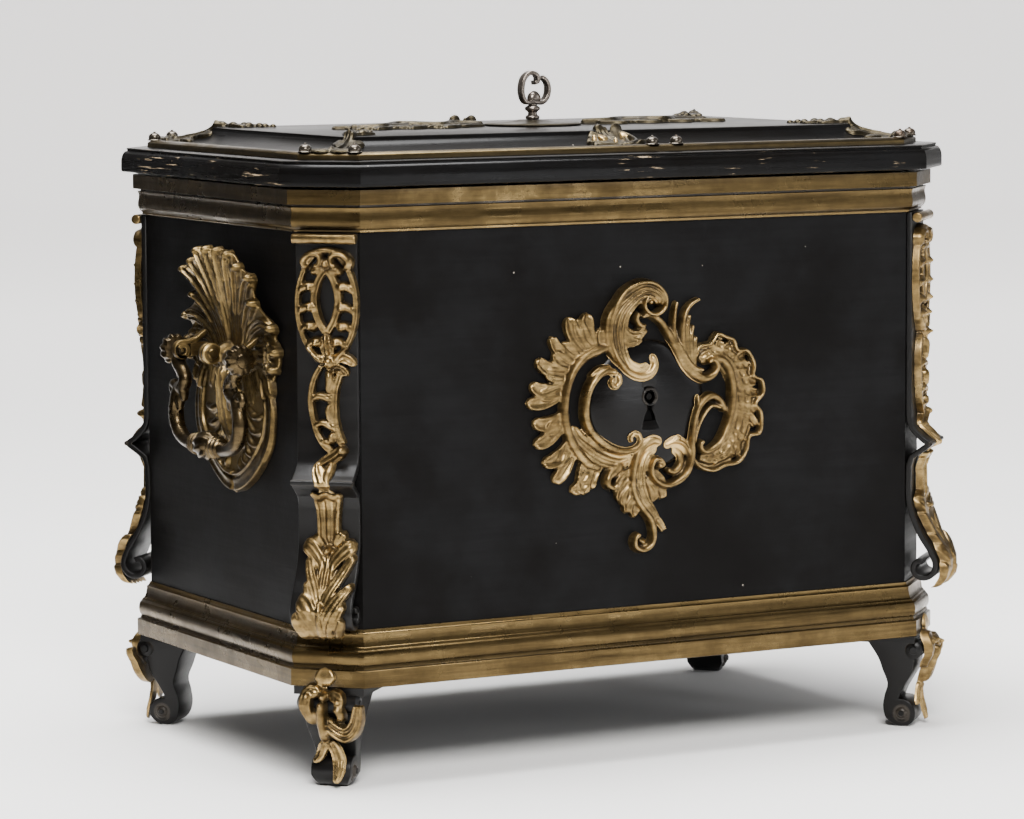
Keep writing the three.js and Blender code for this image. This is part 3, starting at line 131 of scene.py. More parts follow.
def build_relief(name, inside):
    """How deep a point lies in a hollow, or, with inside, how sharp an edge it is on."""
    tree, given, out = effect(name, {"Reach": 0.004, "From": 0.1, "To": 0.6})
    shade = place(tree, "ShaderNodeAmbientOcclusion", samples=6, inside=inside)
    flip = place(tree, "ShaderNodeMath", {0: 1.0}, operation="SUBTRACT")
    spread = place(tree, "ShaderNodeMapRange", interpolation_type="SMOOTHSTEP")
    wire(tree, (given, "Reach", shade, "Distance"), (shade, "AO", flip, 1),
         (flip, "Value", spread, "Value"), (given, "From", spread, "From Min"),
         (given, "To", spread, "From Max"), (spread, "Result", out, "Value"))
    return tree


rolled_grain = build_grain()
patches = build_patches()
specks = build_specks()
hollows = build_relief("hollows", False)
worn_edges = build_relief("worn_edges", True)


def between(tree, factor, first, second):
    """A colour between two, each a colour or another node's output."""
    mix = place(tree, "ShaderNodeMix", data_type="RGBA")
    tree.links.new(factor, mix.inputs["Factor"])
    for socket, value in ((mix.inputs[6], first), (mix.inputs[7], second)):
        if isinstance(value, bpy.types.NodeSocket):
            tree.links.new(value, socket)
        else:
            socket.default_value = (*value, 1.0)
    return mix.outputs[2]


def ranged(tree, value, low, high):
    """A value from 0 to 1, spread between two limits."""
    spread = place(tree, "ShaderNodeMapRange", {"To Min": low, "To Max": high})
    tree.links.new(value, spread.inputs["Value"])
    return spread.outputs["Result"]


def bumped(tree, height, distance, strength, under=None):
    """A normal tilted by a height, over another normal if there is one."""
    bump = place(tree, "ShaderNodeBump", {"Distance": distance, "Strength": strength})
    tree.links.new(height, bump.inputs["Height"])
    if under:
        tree.links.new(under, bump.inputs["Normal"])
    return bump.outputs["Normal"]


def new_material(name):
    """A material, its node tree and its surface node."""
    material = bpy.data.materials.new(name)
    material.use_nodes = True
    return material, material.node_tree, material.node_tree.nodes["Principled BSDF"]


def blackened_iron(name, black, brown, worn, roughness, fine, speck=0.82, gloss=0.1, chips=0.0):
    """Blackened iron: rolling grain, brown stains, pale specks, scratches and edges worn to metal."""
    material, tree, surface = new_material(name)
    grain = use(tree, rolled_grain, Fine=fine)
    stains = use(tree, patches, Scale=6.0, From=0.44, To=0.6)
    clouds = use(tree, patches, Scale=22.0, From=0.4, To=0.66)
    bare = use(tree, worn_edges, Reach=0.0016, From=0.42, To=0.75)
    spots = use(tree, specks, Scale=48.0, Size=0.035, Few=speck)
    lighter = tuple(1.9 * c for c in black)
    streaked = between(tree, ranged(tree, grain, -0.5, 1.0), black, lighter)
    clouded = between(tree, ranged(tree, clouds, 0.0, 0.4), streaked, brown)
    stained = between(tree, ranged(tree, stains, 0.0, 0.6), clouded, brown)
    edged = between(tree, ranged(tree, bare, 0.0, 0.75), stained, worn)
    if chips:
        drawn = use(tree, rolled_grain, Fine=620.0, Long=26.0)
        where = use(tree, patches, Scale=9.0, From=0.5, To=0.56)
        cut = place(tree, "ShaderNodeMapRange", {"From Min": 1 - chips, "From Max": 1.03 - chips})
        both = place(tree, "ShaderNodeMath", operation="MULTIPLY")
        tree.links.new(drawn, cut.inputs["Value"])
        tree.links.new(cut.outputs["Result"], both.inputs[0])
        tree.links.new(where, both.inputs[1])
        edged = between(tree, both.outputs["Value"], edged, (0.33, 0.25, 0.16))
    speckled = between(tree, spots, edged, (0.3, 0.27, 0.23))
    tree.links.new(speckled, surface.inputs["Base Color"])
    tree.links.new(ranged(tree, grain, roughness - 0.08, roughness + 0.14), surface.inputs["Roughness"])
    surface.inputs["Specular IOR Level"].default_value = gloss
    dents = use(tree, patches, Scale=34.0, From=0.2, To=0.8)
    dented = bumped(tree, dents, 0.0006, 0.25)
    tree.links.new(bumped(tree, grain, 0.0003, 0.35, dented), surface.inputs["Normal"])
    return material


case_iron = blackened_iron("case_iron", (0.004, 0.004, 0.0042), (0.0011, 0.0006, 0.0003),
                           (0.018, 0.015, 0.012), 0.46, 260.0, gloss=0.058)


def paint(node, material):
    """Gives a CAD node its finish."""
    for each in nodes[node].material_slots:
        each.material = material


for plate in ("floor_plate", "front_plate", "back_plate", "left_plate", "right_plate"):
    paint(plate, case_iron)

# ---- Ledge
# A flat iron ring inside the mouth of the case, which the bolts of the lid slide under. It is
# left bare and has filing marks along it.


def filed_iron(name, tone, roughness):
    """Bare iron with file marks, grey-brown, with rusty patches, and darker in its hollows."""
    material, tree, surface = new_material(name)
    marks = use(tree, rolled_grain, Fine=420.0, Long=60.0)
    rust = use(tree, patches, Scale=30.0, From=0.5, To=0.72)
    deep = use(tree, hollows, Reach=0.006, From=0.2, To=0.8)
    darker = tuple(0.45 * c for c in tone)
    streaked = between(tree, marks, darker, tone)
    rusty = between(tree, ranged(tree, rust, 0.0, 0.7), streaked, (0.07, 0.035, 0.018))
    # the hollows are made darker
    hollows_darkened = between(tree, ranged(tree, deep, 0.0, 0.8), rusty, (0.02, 0.015, 0.012))
    tree.links.new(hollows_darkened, surface.inputs["Base Color"])
    tree.links.new(ranged(tree, rust, roughness, roughness + 0.25), surface.inputs["Roughness"])
    surface.inputs["Metallic"].default_value = 0.85
    tree.links.new(bumped(tree, marks, 0.0002, 0.5), surface.inputs["Normal"])
    return material


lock_iron = filed_iron("lock_iron", (0.17, 0.155, 0.138), 0.38)
paint("rim_ledge", lock_iron)

# ---- Base and cornice mouldings
# Brass mouldings run round the case at its foot and its top, mitred at all eight corners. The old
# gilding is rubbed bright on the rolls, with a painted highlight on their edges, and has gone brown
# in the grooves, darkened further there with painted shade.
CORNER_CUT = 39 * MM
SEAT = 0.3 * MM  # gap between pieces that touch
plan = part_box("floor_plate")[1]


def octagon(out):
    """The eight corners of the case's plan, moved outwards."""
    x, y = plan.x + out, plan.y + out
    cut = CORNER_CUT + out * (2 - math.sqrt(2))
    quarter = [(x, y - cut), (x - cut, y)]
    back = [(-a, b) for a, b in reversed(quarter)]
    return quarter + back + [(a, -b) for a, b in reversed(quarter + back)]


def arc(centre, radii, start, end, steps):
    """Points of an arc of an ellipse, angles in degrees."""
    angles = [math.radians(start + (end - start) * i / steps) for i in range(steps + 1)]
    return [(centre[0] + radii[0] * math.cos(a), centre[1] + radii[1] * math.sin(a)) for a in angles]


def finish_mesh(piece, angle=34):
    """Merges doubles, turns the faces outwards and smooths all but the sharp edges."""
    bpy.ops.object.mode_set(mode="EDIT")
    bpy.ops.mesh.select_all(action="SELECT")
    bpy.ops.mesh.remove_doubles(threshold=0.00001)
    bpy.ops.mesh.normals_make_consistent(inside=False)
    bpy.ops.object.mode_set(mode="OBJECT")
    bpy.ops.object.shade_smooth_by_angle(angle=math.radians(angle))
    return piece


def ringed(name, section, bottom):
    """Eight edges round the case, extruded through each [out, up] point of a section, in
    millimetres above its bottom. The last ring stays selected in edit mode."""
    bpy.ops.mesh.primitive_circle_add(vertices=8)
    piece = bpy.context.object
    piece.name = name
    bpy.ops.object.mode_set(mode="EDIT")
    for i, (out, up) in enumerate(section):
        if i:
            bpy.ops.mesh.extrude_edges_move()
        ring = [v for v in bmesh.from_edit_mesh(piece.data).verts if v.select]
        ring.sort(key=lambda v: math.atan2(v.co.y, v.co.x))
        corners = sorted(octagon(out * MM), key=lambda c: math.atan2(c[1], c[0]))
        for vert, (x, y) in zip(ring, corners):
            vert.co = (x, y, bottom + up * MM)
        bmesh.update_edit_mesh(piece.data)
    return piece


def run_round(name, section, bottom):
    """A moulding round the case, whose section closes on its first point."""
    piece = ringed(name, [*section, section[0]], bottom)
    bpy.ops.object.mode_set(mode="OBJECT")
    return finish_mesh(piece)


def finished(piece, material, body, slot, *replaced):
    """Gives a piece its finish and its body, and hides the CAD nodes that it stands for."""
    piece.data.materials.clear()
    piece.data.materials.append(material)
    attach(piece, body)
    if replaced:
        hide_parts(*replaced)
    return piece


def gilding(name, gold, dull, grime_and_shade, reach, roughness, rub_and_highlight, grain_fine, drawn=6.0, mottling=0.35):
    """Gilt brass: bright where hands and cloths reach, with a painted highlight on sharp edges, dull in
    patches, brown to near black in hollows with grime and painted shade. A high drawn gives long
    streaks."""
    material, tree, surface = new_material(name)
    worn = use(tree, patches, Scale=26.0, From=0.38, To=0.66)
    mottle = use(tree, patches, Scale=120.0, From=0.4, To=0.62)
    deep = use(tree, hollows, Reach=reach, From=0.16, To=0.72)
    high = use(tree, worn_edges, Reach=reach * 0.5, From=0.5, To=0.85)
    grain = use(tree, rolled_grain, Fine=grain_fine, Long=grain_fine / drawn)
    base = between(tree, ranged(tree, worn, 0.0, 0.6), gold, dull)
    streaked = between(tree, ranged(tree, grain, -0.9, 1.7), base, tuple(0.55 * c for c in dull))
    mottled = between(tree, ranged(tree, mottle, 0.0, mottling), streaked, grime_and_shade)
    # painted highlight: sharp convex edges get a brighter gold, on top of real rubbing
    rubbed_and_highlit = between(tree, ranged(tree, high, 0.0, rub_and_highlight), mottled, tuple(1.6 * c for c in gold))
    # painted shade and grime: the hollows are darkened towards near black and made less metallic
    hollows_darkened = between(tree, ranged(tree, deep, 0.0, 0.93), rubbed_and_highlit, grime_and_shade)
    tree.links.new(hollows_darkened, surface.inputs["Base Color"])
    tree.links.new(ranged(tree, deep, 0.96, 0.35), surface.inputs["Metallic"])
    tree.links.new(ranged(tree, worn, roughness, roughness + 0.16), surface.inputs["Roughness"])
    pitted = bumped(tree, mottle, 0.0002, 0.18)
    tree.links.new(bumped(tree, grain, 0.0002, 0.3, pitted), surface.inputs["Normal"])
    return material


# the third colour is both grime and painted shade in the hollows; rub sets the painted highlight on edges
gilt_moulding = gilding("gilt_moulding", (0.12, 0.081, 0.032), (0.055, 0.036, 0.0135),
                        (0.009, 0.0055, 0.003), 0.01, 0.25, 1.0, 190.0, 22.0, 0.14)

base_low, base_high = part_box("base_moulding")
base_out = (base_high.x - plan.x) / MM
base_section = [
    (0.3, 0), (base_out - 0.6, 0), (base_out, 0.6), (base_out, 14.2), (base_out - 0.8, 15),
    (base_out - 2.6, 15.4), (base_out - 2.8, 17),
    *arc((base_out - 5.2, 24.5), (3.9, 7.4), -62, 66, 12),
    (base_out - 4.4, 32.4),
    *arc((base_out - 4.2, 41), (3.6, 8), 262, 192, 8),
    (base_out - 8.2, 41.6), (base_out - 8.2, 44.2), (base_out - 9.4, 45), (1.6, 46.4), (1.2, 48), (0.3, 48),
]
base_moulding = run_round("base_moulding_gilt", base_section, base_low.z)
finished(base_moulding, gilt_moulding, "case", "gilt_moulding", "base_moulding")

cornice_low, cornice_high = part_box("cornice_moulding")
cornice_out = (cornice_high.x - plan.x) / MM
cornice_section = [
    (0.3, 0), (2.6, 0), (3, 0.5), (3, 1.8), (4.1, 2.6), (5.2, 3.9), (6, 5.6), (6.5, 7.6), (6.6, 9.6),
    (6.4, 11.6), (6, 13.4), (5.7, 15.2), (5.6, 17), (5.9, 18.6), (6.5, 19.8), (6.7, 20.4), (6.4, 20.9),
    (4.2, 21), (4.2, 22.9), (cornice_out - 0.5, 22.9),
    (cornice_out, 23.1), (cornice_out, 35.4), (cornice_out - 0.6, 36), (0.3, 36),
]
cornice = run_round("cornice_moulding_gilt", cornice_section, cornice_low.z)

finished(cornice, gilt_moulding, "case", "gilt_moulding", "cornice_moulding")

# ---- Corner straps
# A strip of black iron lies down each cut corner, kicks out in a knee, sweeps out again and ends in
# a curl above the base moulding. It is forged from one bar and riveted through the case.
STRAP_THICKNESS = 5 * MM
STRAP_WIDTH = 54 * MM
NOSE_RADIUS = 2.1 * MM  # of the round edge on the knee
KNEE = Vector((21, 173)) * MM  # [out from the corner face, height above the case's underside]


def smooth_path(points, count):
    """Evenly spaced points of a smooth curve through a few chosen ones."""
    chosen = [Vector(p) for p in points]
    chosen = [2 * chosen[0] - chosen[1], *chosen, 2 * chosen[-1] - chosen[-2]]
    dense = []
    for a, b, c, d in zip(chosen, chosen[1:], chosen[2:], chosen[3:]):
        for i in range(10):
            t = i / 10
            cubic = (3 * b - a - 3 * c + d) * t ** 3
            dense.append(0.5 * (2 * b + (c - a) * t + (2 * a - 5 * b + 4 * c - d) * t * t + cubic))
    dense.append(chosen[-2])
    lengths = [0.0]
    for a, b in zip(dense, dense[1:]):
        lengths.append(lengths[-1] + (b - a).length)
    even, j = [], 0
    for i in range(count + 1):
        goal = lengths[-1] * i / count
        while j < len(dense) - 2 and lengths[j + 1] < goal:
            j += 1
        share = (goal - lengths[j]) / max(lengths[j + 1] - lengths[j], 1e-9)
        even.append(dense[j].lerp(dense[j + 1], min(1.0, share)))
    return even


def path_sides(path):
    """Unit normals to the left of an open flat path."""
    sides = []
    for i in range(len(path)):
        step = path[min(i + 1, len(path) - 1)] - path[max(i - 1, 0)]
        sides.append(Vector((-step.y, step.x)).normalized())
    return sides


def ribbon(path, thickness):
    """The outline of a strip of even thickness that follows a path."""
    sides = path_sides(path)
    left = [p + n * thickness / 2 for p, n in zip(path, sides)]
    right = [p - n * thickness / 2 for p, n in zip(path, sides)]
    return left + right[::-1]


def sheet_cut(name, outline, thickness, rounding=0.0):
    """A flat sheet cut to a closed outline in x and y, as a mesh with rounded edges."""
    drawn = bpy.data.curves.new(name, "CURVE")
    drawn.dimensions = "2D"
    drawn.fill_mode = "BOTH"
    drawn.extrude = thickness / 2 - rounding
    drawn.bevel_depth = rounding
    drawn.bevel_resolution = 2
    drawn.offset = -rounding
    line = drawn.splines.new("POLY")
    line.points.add(len(outline) - 1)
    for point, (x, y) in zip(line.points, outline):
        point.co = (x, y, 0, 1)
    line.use_cyclic_u = True
    piece = bpy.data.objects.new(name, drawn)
    bpy.context.collection.objects.link(piece)
    bpy.ops.object.select_all(action="DESELECT")
    piece.select_set(True)
    bpy.context.view_layer.objects.active = piece
    bpy.ops.object.convert(target="MESH")
    return bpy.context.object


def cut_across(name, outline, width, rounding, toe=None):
    """A bar across a corner, cut to an [out, up] outline with rounded edges. Its width may narrow
    to the toe's at the bottom. Out is -Y and the width lies along X."""
    piece = sheet_cut(name, outline, width, rounding)
    low = min(v.co.y for v in piece.data.vertices)
    for vert in piece.data.vertices:
        out, up, along = vert.co
        narrow = 1 if toe is None else 1 + (toe / width - 1) * min(1.0, up / (0.7 * low))
        vert.co = (along * narrow, -out, up)
    return finish_mesh(piece, 40)


def quarter_turn(axis):
    return Matrix.Rotation(math.pi / 2, 4, axis)


def welded(name, *pieces):
    """Several closed meshes as one object."""
    bpy.ops.object.select_all(action="DESELECT")
    for each in pieces:
        each.select_set(True)
    bpy.context.view_layer.objects.active = pieces[0]
    bpy.ops.object.join()
    pieces[0].name = name
    return pieces[0]


def copied(piece, name):
    """A copy with a mesh of its own."""
    copy = piece.copy()
    copy.data = piece.data.copy()
    copy.name = name
    bpy.context.collection.objects.link(copy)
    return copy


def corner_places(inset=CORNER_CUT / 2):
    """Each corner's name and the matrix that carries a drawing on the plane y = 0 to its face, or
    to a plane beside it, by how far its middle lies inside the case's sides."""
    sides = [("front_right", 1, -1, 45), ("back_right", 1, 1, 135),
             ("back_left", -1, 1, 225), ("front_left", -1, -1, 315)]
    for name, x, y, turn in sides:
        place_at = Vector((x * (plan.x - inset), y * (plan.y - inset), case_bottom))
        yield name, Matrix.Translation(place_at) @ Matrix.Rotation(math.radians(turn), 4, "Z")


def on_corners(piece, base, material, slot):
    """Copies a piece drawn on a corner face to all four corners, each with its own mesh."""
    for name, matrix in corner_places():
        copy = copied(piece, f"{base}_{name}_finish")
        copy.data.transform(matrix)
        finished(copy, material, "case", slot, f"{base}_{name}")
    bpy.data.objects.remove(piece)


case_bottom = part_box("floor_plate")[0].z
strap_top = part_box("corner_strap_front_left")[1].z - case_bottom
strap_face = SEAT + STRAP_THICKNESS / 2
scroll_middle = Vector((15 * MM, base_high.z - case_bottom + 14 * MM))


def strap_path():
    """The strap from the side, as [out, up] points from its top to the end of its curl."""
    face = strap_face
    fall = [(face, KNEE.y - 20 * MM), (face, KNEE.y - 48 * MM),
            (face + 3.5 * MM, scroll_middle.y + 46 * MM), (face + 11 * MM, scroll_middle.y + 29 * MM),
            (face + 20 * MM, scroll_middle.y + 15 * MM)]
    knee = [(face, KNEE.y + 24 * MM), (face + 3 * MM, KNEE.y + 14 * MM),
            (KNEE.x - 6 * MM, KNEE.y + 4.5 * MM), (KNEE.x, KNEE.y), (KNEE.x - 6 * MM, KNEE.y - 5 * MM),
            (face + 2.5 * MM, KNEE.y - 12 * MM)]
    curl = []
    for i in range(29):
        turn = math.radians(22 - 312 * i / 28)
        radius = (13 - 8.6 * i / 28) * MM
        curl.append(scroll_middle + radius * Vector((math.cos(turn), math.sin(turn))))
    upper = [Vector((face, strap_top)), Vector((face, (strap_top + KNEE.y) / 2))]
    return upper + smooth_path(knee, 22) + smooth_path(fall, 20) + curl


strap_iron = blackened_iron("strap_iron", (0.0034, 0.0032, 0.0032), (0.0014, 0.0009, 0.0005),
                            (0.04, 0.033, 0.026), 0.34, 90.0, 0.9, 0.2)
strap = cut_across("corner_strap", ribbon(strap_path(), STRAP_THICKNESS), STRAP_WIDTH, 1.1 * MM)
bpy.ops.mesh.primitive_cylinder_add(vertices=24, radius=NOSE_RADIUS, depth=STRAP_WIDTH)
nose = bpy.context.object
bpy.ops.object.shade_smooth_by_angle(angle=math.radians(40))
nose.data.transform(Matrix.Translation((0, -KNEE.x - 1.5 * MM, KNEE.y)) @ quarter_turn("Y"))
strap = welded("corner_strap", strap, nose)
on_corners(strap, "corner_strap", strap_iron, "black_iron")

# ---- Pierced mounts on the straps
# A cast and chased brass mount fills the flat of each strap, under a roll: an oval of curled bars
# round an almond, a knot, and a drop whose tail climbs over the knee. It is pierced right through.


def rounded(a):
    return math.sqrt(max(0.0, 1 - a * a))


def grooved(a):
    """A rail with a groove along its middle."""
    return math.sqrt(max(0.0, 1 - a ** 6)) * (0.7 + 0.3 * a * a)


def spooned(a):
    """A hollow leaf with a raised rim."""
    return math.sqrt(max(0.0, 1 - a ** 8)) * (0.42 + 0.58 * a * a)


def cupped(a):
    """A shallower leaf, hollow along its middle, with a vein."""
    return math.sqrt(max(0.0, 1 - a ** 6)) * (0.68 + 0.32 * a * a + 0.12 * max(0.0, 1 - 9 * a * a))


def fluted(ridges):
    """A broad leaf with ridges drawn along it."""
    def height(a):
        return math.sqrt(max(0.0, 1 - a ** 4)) * (0.8 + 0.2 * math.cos(math.pi * ridges * a))
    return height


def along(values, t):
    """A value part of the way along a short list."""
    at = t * (len(values) - 1)
    i = min(int(at), len(values) - 2)
    return values[i] + (values[i + 1] - values[i]) * (at - i)


def strand(points, half, rise, shape=rounded):
    """One scroll or leaf of a casting, in millimetres: a grid rolled round a section and laid along
    a smooth path in x and z. It rises towards -Y, and both of its ends are rounded."""
    chosen = [Vector(p) for p in points]
    reach = sum((b - a).length for a, b in zip(chosen, chosen[1:]))
    steps = max(6, int(reach / 1.7))
    path = smooth_path(points, steps)
    sides = path_sides(path)
    across = 8 if max(half) < 3 else 12 if max(half) < 7 else 20
    around = across + 3
    bpy.ops.mesh.primitive_grid_add(x_subdivisions=around, y_subdivisions=steps, size=2)
    piece = bpy.context.object
    for vert in piece.data.vertices:
        i = round((vert.co.x + 1) / 2 * around) % around
        j = round((vert.co.y + 1) / 2 * steps)
        width, height = along(half, j / steps), along(rise, j / steps)
        near = min(j, steps - j) * reach / steps / max(width, 0.5)
        taper = math.sqrt(max(0.004, 1 - (1 - min(1.0, near)) ** 2))
        a = -1 + 2 * i / across if i <= across else (1 if i == across + 1 else -1)
        lift = shape(a) * height * taper if i <= across else -1.6
        spot = path[j] + sides[j] * a * width * taper
        vert.co = (spot.x * MM, -lift * MM, spot.y * MM)
    return piece


def bead(x, z, radius, rise):
    """A round boss on the plane of a casting, in millimetres."""
    bpy.ops.mesh.primitive_uv_sphere_add(segments=16, ring_count=10, radius=1)
    piece = bpy.context.object
    for vert in piece.data.vertices:
        vert.co = ((x + radius * vert.co.x) * MM, -rise * vert.co.y * MM, (z + radius * vert.co.z) * MM)
    return piece


def mirrored(points):
    return [(-x, z) for x, z in points]


def fused(name, parts, grain):
    """Fuses parts into one body, with a grain in millimetres, and eases its joints."""
    piece = welded(name, *parts)
    bpy.ops.object.mode_set(mode="EDIT")
    bpy.ops.mesh.select_all(action="SELECT")
    bpy.ops.mesh.remove_doubles(threshold=0.000001)
    bpy.ops.mesh.fill_holes(sides=0)
    bpy.ops.mesh.normals_make_consistent(inside=False)
    bpy.ops.object.mode_set(mode="OBJECT")
    fuse = piece.modifiers.new("fuse", "REMESH")
    fuse.mode = "VOXEL"
    fuse.voxel_size = grain * MM
    bpy.ops.object.modifier_apply(modifier="fuse")
    ease = piece.modifiers.new("ease", "SMOOTH")
    ease.iterations = 2
    bpy.ops.object.modifier_apply(modifier="ease")
    return piece


def cast(name, parts, grain):
    """Fuses strands and beads into one casting with a flat back, as it leaves the mould."""
    piece = fused(name, parts, grain)
    for vert in piece.data.vertices:
        vert.co.y = min(vert.co.y, -SEAT)
    bpy.ops.object.mode_set(mode="EDIT")
    bpy.ops.mesh.select_all(action="SELECT")
    bpy.ops.mesh.dissolve_degenerate(threshold=0.00002)
    bpy.ops.object.mode_set(mode="OBJECT")
    bpy.ops.object.shade_smooth()
    return piece


gilt_mount = gilding("gilt_mount", (0.35, 0.24, 0.098), (0.14, 0.087, 0.032),
                     (0.007, 0.004, 0.002), 0.0085, 0.27, 1.0, 160.0, 6.0, 0.45)

OVAL = (1.5, 320.5)  # its middle on the strap, above the case's underside
mount_rim = arc(OVAL, (25.6, 44.8), 90, 450, 44)


def beside_oval(points, side):
    return [(OVAL[0] + side * x, z) for x, z in points]


mount_parts = [
    strand(mount_rim, (2.5, 2.5), (8.5, 8.5), grooved),
    bead(1.7, 355, 4.6, 12.5),
    strand([(0, 297), (1.5, 287), (3, 276)], (5, 7, 6), (9, 9, 10), fluted(2)),
    strand([(-14, 363.5), (1.5, 365.8), (17, 363.5)], (2.6, 3.4, 2.6), (8, 9, 8)),
    bead(3.3, 272, 6, 12),
    bead(3.3, 272, 3, 14.5),
]
for side in (-1, 1):
    mount_parts += [
        strand(beside_oval([(0, 351), (6.8, 341), (10.6, 326), (7.6, 310), (0, 296)], side),
               (3, 3.3, 3.5, 3.3, 3), (9.5, 10, 10, 10, 9.5), grooved),
        strand(beside_oval([(16, 349), (20, 357), (13, 363), (5, 361), (6, 353.5), (11, 354)], side),
               (4.4, 4, 3.6, 3.2, 3, 2.6), (9, 10, 10.5, 11, 11, 12)),
        strand(beside_oval([(3, 352), (9, 349), (15, 348)], side), (3.4, 4.4, 4), (9, 9, 9)),
        strand(beside_oval([(6, 273), (12, 280), (19, 287)], side), (4, 3, 2), (9, 9, 8)),
    ]
    for z, reach in ((333.5, 24.5), (316.5, 25), (300.5, 22.5), (287.5, 17)):
        inner = 10 if z > 295 else 5
        bar = [(inner - 2, z - 1), (inner + 3, z + 2), (inner + 8, z + 2), (reach, z - 3)]
        mount_parts.append(strand(beside_oval(bar, side), (5.2, 5.2, 4, 2.6), (9, 10, 9, 8)))
        mount_parts.append(bead(OVAL[0] + side * (inner + 4), z + 1.2, 3.4, 12))
        mount_parts.append(bead(OVAL[0] + side * (reach - 3.4), z + 0.8, 2.4, 10))
mount_parts += [
    strand([(6, 274), (14, 277), (21, 275), (26, 270)], (3, 4.6, 4.6, 3), (9, 11, 11, 8), spooned),
    strand([(4, 267), (10, 268), (16, 266), (19, 261)], (4, 4.4, 4, 2.6), (9, 10, 10, 8), spooned),
    strand([(-1, 272), (-6, 276), (-10, 274)], (3, 3.4, 2), (9, 10, 8)),
    strand([(-3, 271), (-9.5, 260), (-12.6, 248), (-12.6, 235), (-8, 215), (-1, 203.5), (6, 199)],
           (2.6, 2.6, 2.7, 2.7, 2.7, 3, 3.4), (8.5, 8.5, 9, 9, 9, 9, 9), grooved),
    strand([(14, 267), (11, 258), (8.4, 248), (8, 229), (11, 213), (15, 203)],
           (3, 2.9, 2.8, 2.8, 3, 4), (9, 9, 9, 9, 9, 9), grooved),
    strand([(-12, 241), (-6, 244.5), (0, 244), (7, 240)], (2.4, 3.8, 4.4, 4), (8, 9.5, 10, 9)),
    strand([(-10, 218), (-4, 222), (2, 221), (8, 216)], (2.4, 3.6, 4, 3.4), (8, 9.5, 10, 9)),
    strand([(2, 268), (4, 260), (3, 251), (6, 246)], (4, 4.6, 4, 3), (9, 11, 10.5, 9)),
    strand([(7, 238), (3, 234), (4, 226), (7, 222)], (3.6, 4, 3.6, 3), (9, 11, 10.5, 9)),
    strand([(8, 215), (5, 210), (7, 204)], (3.4, 3.6, 3.6), (9, 10.5, 9)),
    strand([(-5, 206), (0, 207), (6, 205)], (2, 2.6, 3), (8, 9, 9)),
    strand([(16, 203), (11, 197), (3, 191.5), (-5, 187), (-9, 185)], (4.4, 6, 6.6, 5.6, 4),
           (9, 10, 10, 10, 9), fluted(2)),
    bead(14, 199, 4.6, 12),
]
mount = cast("pierced_mount", mount_parts, 0.8)
mount.data.transform(Matrix.Translation((0, -(SEAT + STRAP_THICKNESS), 0)))

ROLL_RADIUS = 4.4 * MM
bpy.ops.mesh.primitive_cylinder_add(vertices=32, radius=ROLL_RADIUS, depth=56 * MM)
roll = bpy.context.object
bpy.ops.object.mode_set(mode="EDIT")
sheet = bmesh.from_edit_mesh(roll.data)
bpy.ops.mesh.select_all(action="DESELECT")
for edge in sheet.edges:
    edge.select = abs(edge.verts[0].co.z - edge.verts[1].co.z) < 1e-6
bmesh.update_edit_mesh(roll.data)
bpy.ops.mesh.bevel(offset=1 * MM, segments=3)
bpy.ops.object.mode_set(mode="OBJECT")
bpy.ops.object.shade_smooth_by_angle(angle=math.radians(40))
roll_out = 2 * SEAT + STRAP_THICKNESS + ROLL_RADIUS
roll.data.transform(Matrix.Translation((0, -roll_out, strap_top - ROLL_RADIUS)) @ quarter_turn("Y"))
mount = welded("corner_mount", mount, roll)
on_corners(mount, "corner_mount", gilt_mount, "gilt_mount")

# ---- Acanthus leaves below the knee
# Each strap carries a gilt acanthus leaf that starts in a husk under the knee and spreads over the
# lower sweep. It is cast flat, then bent to the strap and pinned.
STRAP_BULGE = [(200, 6), (187, 9.5), (178, 19), (174, 23.5), (171, 23), (168, 18), (161, 10), (150, 5.8),
               (122, 6), (108, 9.5), (92, 17), (80, 25), (68, 30.3), (60, 31), (52, 29.5), (45, 25),
               (40, 18.5)]


def bent_out(piece, profile):
    """Moves a casting outwards by a distance that depends on its height, both in millimetres."""
    for vert in piece.data.vertices:
        z = vert.co.z / MM
        below = [p for p in profile if p[0] <= z] or [profile[-1]]
        above = [p for p in profile if p[0] > z] or [profile[0]]
        (z0, out0), (z1, out1) = below[0], above[-1]
        share = 0 if z1 == z0 else min(1.0, max(0.0, (z - z0) / (z1 - z0)))
        vert.co.y -= (out0 + (out1 - out0) * share) * MM
    return piece


